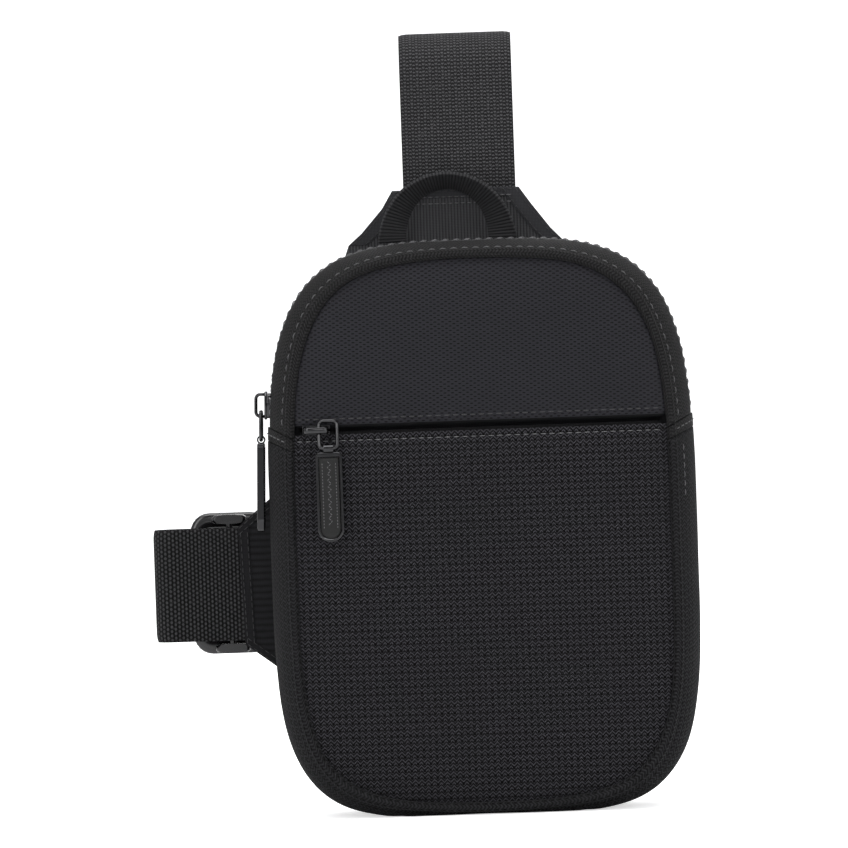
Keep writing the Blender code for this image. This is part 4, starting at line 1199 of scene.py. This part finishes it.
def rounded_box(centre, width, height, radius, count=6):
    x, y = width / 2 - radius, height / 2 - radius
    points = []
    for dx, dy, start in ((x, y, 0), (-x, y, 90), (-x, -y, 180), (x, -y, 270)):
        points += arc((centre[0] + dx, centre[1] + dy), radius, start, start + 90, count)
    return points


def joined(name, meshes):
    """Several meshes as one."""
    shape = bmesh.new()
    for mesh in meshes:
        shape.from_mesh(mesh)
    return finished_mesh(shape, name)


GLIDE_Y, RAIL = 37.1 * MM, 5.2 * MM
loop = [(x, GLIDE_Y, z) for x, z in rounded_box((BAR_X, WING_MID_Z), 27 * MM - RAIL, 48 * MM - RAIL, 4 * MM)]
frame_bar = swept_bar("glide_frame", loop, [(0, 1, 0)] * len(loop), RAIL, 3.1 * MM, closed=True)
bar_line = [(BAR_X, bar_y, WING_MID_Z + z * MM) for z in (-22.6, -21, -19.6, -10, 0, 10, 19.6, 21, 22.6)]
centre_bar = swept_bar("glide_bar", bar_line, [(0, 1, 0)] * 9, 2.2 * MM, 2.2 * MM, square=2.0)
cheeks = []
for side in (-1, 1):
    level = WING_MID_Z + side * 21.9 * MM
    line = [(BAR_X, y * MM, level) for y in (28.6, 29.1, 30.5, 33, 35.5, 37.0)]
    widths = [width * MM for width in (9.4, 11.2, 12, 12, 12, 11.6)]
    cheeks.append(swept_bar("glide_cheek", line, [(0, 0, 1)] * 6, widths, 3.1 * MM, square=4))
moulding = joined("tri_glide_moulding", [frame_bar, centre_bar] + cheeks)
glide = place("tri_glide_moulding", moulding, plastic, "bag", "moulded_plastic")
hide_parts("tri_glide")

# ---------------------------------------------------------------- grab loop
# A short handle to hang the bag by: ribbed polyester tape bent into a low arch and sewn into the top seam by
# both ends, its face turned a little to the front.


def ribbed_tape(tree, across, along):
    rib = use(tree, ribs, Across=along, Pitch=1.05)["Rib"]
    pick = use(tree, ribs, Across=across, Pitch=0.45)["Rib"]
    return sums(tree, "ADD", sums(tree, "MULTIPLY", rib, 0.8), sums(tree, "MULTIPLY", pick, 0.2))


loop_cloth = cloth_look(
    "loop_cloth", (0.0323, 0.0323, 0.0342), ribbed_tape, 0.9, 0.03, 0.7, (0.9, 0.25), 0.01
)
LOOP_SHARES, LOOP_STEPS = (-1, -0.9, -0.5, 0, 0.5, 0.9, 1), 64
rows, marks, travelled, last = [], [], 0.0, None
for i in range(LOOP_STEPS + 1):
    angle = math.pi * i / LOOP_STEPS
    rise = max(0.0, math.sin(angle)) ** 0.8
    x = -9 * MM - 19 * MM * math.cos(angle) * (1 - 0.1 * rise)
    middle = Vector((x, 16.5 * MM, 191.6 * MM + 20.9 * MM * rise))
    travelled += (middle - last).length if last else 0.0
    last = middle
    outward = Vector((-math.cos(angle), 0, 1.1 * math.sin(angle))).normalized()
    lean = math.radians(68 - 38 * rise)
    across = outward * math.sin(lean) + Vector((0, -1, 0)) * math.cos(lean)
    rows.append([middle + across * 5 * MM * s for s in LOOP_SHARES])
    marks.append([(5 * MM * s, travelled) for s in LOOP_SHARES])
loop_piece = place(
    "grab_loop_tape", quad_grid("grab_loop_tape", rows, marks), loop_cloth, "bag", "grosgrain", 1.3 * MM
)
rounding = loop_piece.modifiers.new("soft_edge", "BEVEL")
rounding.width = 0.3 * MM
rounding.segments = 2
rounding.limit_method = "ANGLE"
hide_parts("grab_loop")

# ---------------------------------------------------------------- sliders
# Die-cast sliders plated dark and bright: a rounded shell over the coil, a tongue below, a post between them
# at the front end, and a bridge that the puller's ring hangs from.

ZIP_UP, OUTWARDS = Vector((0.0329, 0, 0.99946)).normalized(), Vector((-0.99946, 0, 0.0329)).normalized()


def placed(origin, x_axis, y_axis):
    """A matrix whose X and Y axes point along two directions at right angles."""
    x_axis, y_axis = Vector(x_axis).normalized(), Vector(y_axis).normalized()
    turn = Matrix((x_axis, y_axis, x_axis.cross(y_axis))).transposed()
    return Matrix.Translation(origin) @ turn.to_4x4()


gunmetal = dressed("dark_plating", (0.024, 0.024, 0.026), cloudy(190.0, 5.0), 0.4, 0.0, 0.08, (0.08, 0.08))
metal_tree = gunmetal.node_tree
metal_inputs = metal_tree.nodes["Principled BSDF"].inputs
metal_at = lay(metal_tree, "ShaderNodeTexCoord").outputs["Object"]
polish = lay(
    metal_tree, "ShaderNodeTexNoise", {"Vector": metal_at, "Scale": 2200.0, "Detail": 2.0, "Roughness": 0.7}
).outputs["Fac"]
worn = metal_inputs["Roughness"].links[0].from_socket
polished = sums(metal_tree, "ADD", worn, sums(metal_tree, "MULTIPLY", polish, 0.07))
metal_tree.links.new(polished, metal_inputs["Roughness"])
metal_inputs["Metallic"].default_value = 1.0
metal_inputs["Coat Weight"].default_value = 0.6
metal_inputs["Coat Roughness"].default_value = 0.06

MAIN_ZIP = placed(Vector((4 * MM, ZIP_Y, 136 * MM)) + OUTWARDS * 72.95 * MM, ZIP_UP, (0, 1, 0))
POCKET_ZIP = placed((-54.6 * MM, -22.9 * MM, POCKET_ZIP_Z), (1, 0, 0), (0, 0, 1))


def slider_mesh(name, matrix, top, bottom, crown_z, flanged):
    """A slider in its own frame: X along the zip, Y across it, Z out of the bag."""
    half = 4.7 * MM
    shell = [(-half, -2.6 * MM), (-half + 1.2 * MM, -3.5 * MM), (0, -4.1 * MM), (half - 1.4 * MM, -4.1 * MM)]
    shell.append((half, -3.0 * MM))
    mirrored = [(x, -y) for x, y in shell[::-1]]
    shell = shell + [(half, -0.6 * MM), (half - 1.1 * MM, 0), (half, 0.6 * MM)] + mirrored
    parts = [cut_plate("shell", [shell], 0.9 * MM, 0.28 * MM, Matrix.Translation((0, 0, top + 0.45 * MM)))]
    under = [(x * 0.98, y * 0.82) for x, y in shell]
    parts.append(
        cut_plate("under", [under], 0.9 * MM, 0.25 * MM, Matrix.Translation((0, 0, bottom - 0.45 * MM)))
    )
    post = [(2.4 * MM, 0, z) for z in (bottom - 0.3 * MM, bottom + 0.2 * MM, top - 0.2 * MM, top + 0.3 * MM)]
    parts.append(swept_bar("post", post, [(1, 0, 0)] * 4, 1.0 * MM, 2.8 * MM, square=3))
    if flanged:
        for side in (-1, 1):
            edge = ((-4.1, 3.0), (-3.2, 3.35), (0, 3.7), (3.0, 3.7), (3.9, 3.2))
            rail = [(x * MM, side * y * MM, top - 0.75 * MM) for x, y in edge]
            parts.append(swept_bar("flange", rail, [(0, 0, 1)] * 5, 0.65 * MM, 1.9 * MM, square=3))
    reach, foot, peak = 3.7 * MM, top + 0.4 * MM, crown_z + 1.75 * MM
    path = [(-reach, foot)] + arc((-reach + 1.5 * MM, peak - 1.5 * MM), 1.5 * MM, 180, 90, 6)
    path += arc((reach - 1.5 * MM, peak - 1.5 * MM), 1.5 * MM, 90, 0, 6) + [(reach, foot)]
    ups = []
    for i in range(len(path)):
        before, after = Vector(path[max(i - 1, 0)]), Vector(path[min(i + 1, len(path) - 1)])
        along = (after - before).normalized()
        ups.append((-along.y, 0, along.x))
    widths = [3.0 * MM - 0.9 * MM * math.sin(math.pi * i / (len(path) - 1)) for i in range(len(path))]
    parts.append(swept_bar("bridge", [(x, 0, z) for x, z in path], ups, widths, 1.15 * MM, square=2.4))
    mesh = joined(name, parts)
    mesh.transform(matrix)
    return mesh


for body, matrix, top, bottom, crown_z, flanged in (
    ("main_slider", MAIN_ZIP, 2.2 * MM, -1.05 * MM, 4.25 * MM, True),
    ("pocket_slider", POCKET_ZIP, 0.35 * MM, -3.25 * MM, 4.65 * MM, False),
):
    name = body + "_casting"
    slider = place(name, slider_mesh(name, matrix, top, bottom, crown_z, flanged), gunmetal, body, "gunmetal")
    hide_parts(body)

# ---------------------------------------------------------------- rings
# Steel wire bent to a rounded rectangle, closed and plated like the sliders. Each ring joins a slider's
# bridge to its puller's eye, and swings on the bridge.

RING_LENGTH, WIRE = 9.4 * MM, 0.65 * MM
main_ring_top = MAIN_ZIP @ Vector((-4.3 * MM + 1.2 * MM + WIRE + 0.35 * MM, 0, 4.25 * MM))
MAIN_RING = placed(main_ring_top, (0, 1, 0), ZIP_UP)
POCKET_HANG = Vector((0, 0.1736482, 0.9848077))
pocket_ring_top = Vector((-50.65 * MM, -27.0117 * MM, 133.0529 * MM))
POCKET_RING = placed(pocket_ring_top, (1, 0, 0), POCKET_HANG)
for body, matrix in (("main_ring", MAIN_RING), ("pocket_ring", POCKET_RING)):
    bent = rounded_box((0, -RING_LENGTH / 2), 6.1 * MM, RING_LENGTH, 1.6 * MM)
    mesh = solid_curve(body + "_wire", [[(x, y, 0) for x, y in bent]], WIRE, closed=True, roundness=4)
    mesh.transform(matrix)
    wire = place(body + "_wire", mesh, gunmetal, body, "gunmetal")
    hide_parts(body)

# ---------------------------------------------------------------- pullers
# A cast frame, round at its foot, with an eye for the ring, filled on both faces by a stitched leather-like
# insert: a dotted row along each edge and a zigzag down the middle.

PULL_WIDTH, PULL_LENGTH, PULL_RIM = 8.8 * MM, 31 * MM, 1.0 * MM


def pebbled(tree):
    where = lay(tree, "ShaderNodeTexCoord").outputs["Object"]
    pebbles = lay(tree, "ShaderNodeTexVoronoi", {"Vector": where, "Scale": 1500.0}).outputs["Distance"]
    creases = lay(tree, "ShaderNodeTexNoise", {"Vector": where, "Scale": 500.0, "Detail": 3.0}).outputs["Fac"]
    return sums(tree, "ADD", sums(tree, "MULTIPLY", pebbles, 0.6), sums(tree, "MULTIPLY", creases, 0.5))


leather = dressed("pull_leather", (0.008, 0.0082, 0.008), pebbled, 0.6, 0.02, 0.5, (0.5, 0.12))
leather.node_tree.nodes["Principled BSDF"].inputs["Specular IOR Level"].default_value = 0.25

MAIN_PULL = placed(main_ring_top - ZIP_UP * RING_LENGTH, (0, 1, 0), ZIP_UP)
POCKET_PULL = placed(pocket_ring_top - POCKET_HANG * RING_LENGTH, (1, 0, 0), (0, 0, 1))
top, bottom, half = -1.15 * MM, -PULL_LENGTH, PULL_WIDTH / 2
outside = arc((0, bottom + half), half, 180, 360, 24)
outside += arc((half - 1.3 * MM, top - 1.3 * MM), 1.3 * MM, 0, 90, 5)
outside += arc((-half + 1.3 * MM, top - 1.3 * MM), 1.3 * MM, 90, 180, 5)
for body, matrix in (("main_pull", MAIN_PULL), ("pocket_pull", POCKET_PULL)):
    inner, hole_top = half - PULL_RIM, top - 1.6 * MM
    hole = arc((0, bottom + half), inner, 180, 360, 24) + [(inner, hole_top), (-inner, hole_top)]
    rim = cut_plate("rim", [outside, hole], 2.6 * MM, 0.42 * MM)
    washer = [arc((0, 0), 1.45 * MM, 0, 352, 32), arc((0, 0), 0.95 * MM, 0, 352, 24)]
    eye = cut_plate("eye", washer, 3.4 * MM, 0.2 * MM, SIDEWAYS)
    mesh = joined(body + "_casting", [rim, eye])
    mesh.transform(matrix)
    casting = place(body + "_casting", mesh, gunmetal, body, "gunmetal")
    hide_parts(body + "_frame")
    fill = inner - 0.12 * MM
    fill_top = hole_top - 0.12 * MM
    filled = arc((0, bottom + half), fill, 180, 360, 24) + [(fill, fill_top), (-fill, fill_top)]
    name = body + "_leather"
    insert = place(name, cut_plate(name, [filled], 2.0 * MM, 0.3 * MM, matrix), leather, body, "pull_leather")
    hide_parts(body + "_insert")
    for face, side in ((-1, "back"), (1, "front")):
        for n, x in enumerate((-2.25 * MM, 2.25 * MM)):
            row = [(x, y, face * 1.0 * MM) for y in steps(bottom + half, hole_top - 1.2 * MM, 12)]
            stitch_row(f"{body}_edge_{n}_{side}", row, [(0, 0, face)] * 13, body,
                       pitch=1.05 * MM, share=0.62, radius=0.15 * MM, frame_of=matrix)
        zigzag = []
        for k in range(22):
            y = hole_top - 1.4 * MM - k * 1.05 * MM
            zigzag.append(((0.55 if k % 2 else -0.55) * MM, y, face * 1.0 * MM))
        stitch_row(f"{body}_zigzag_{side}", zigzag, [(0, 0, face)] * 22, body,
                   pitch=1.185 * MM, share=0.8, radius=0.15 * MM, frame_of=matrix)
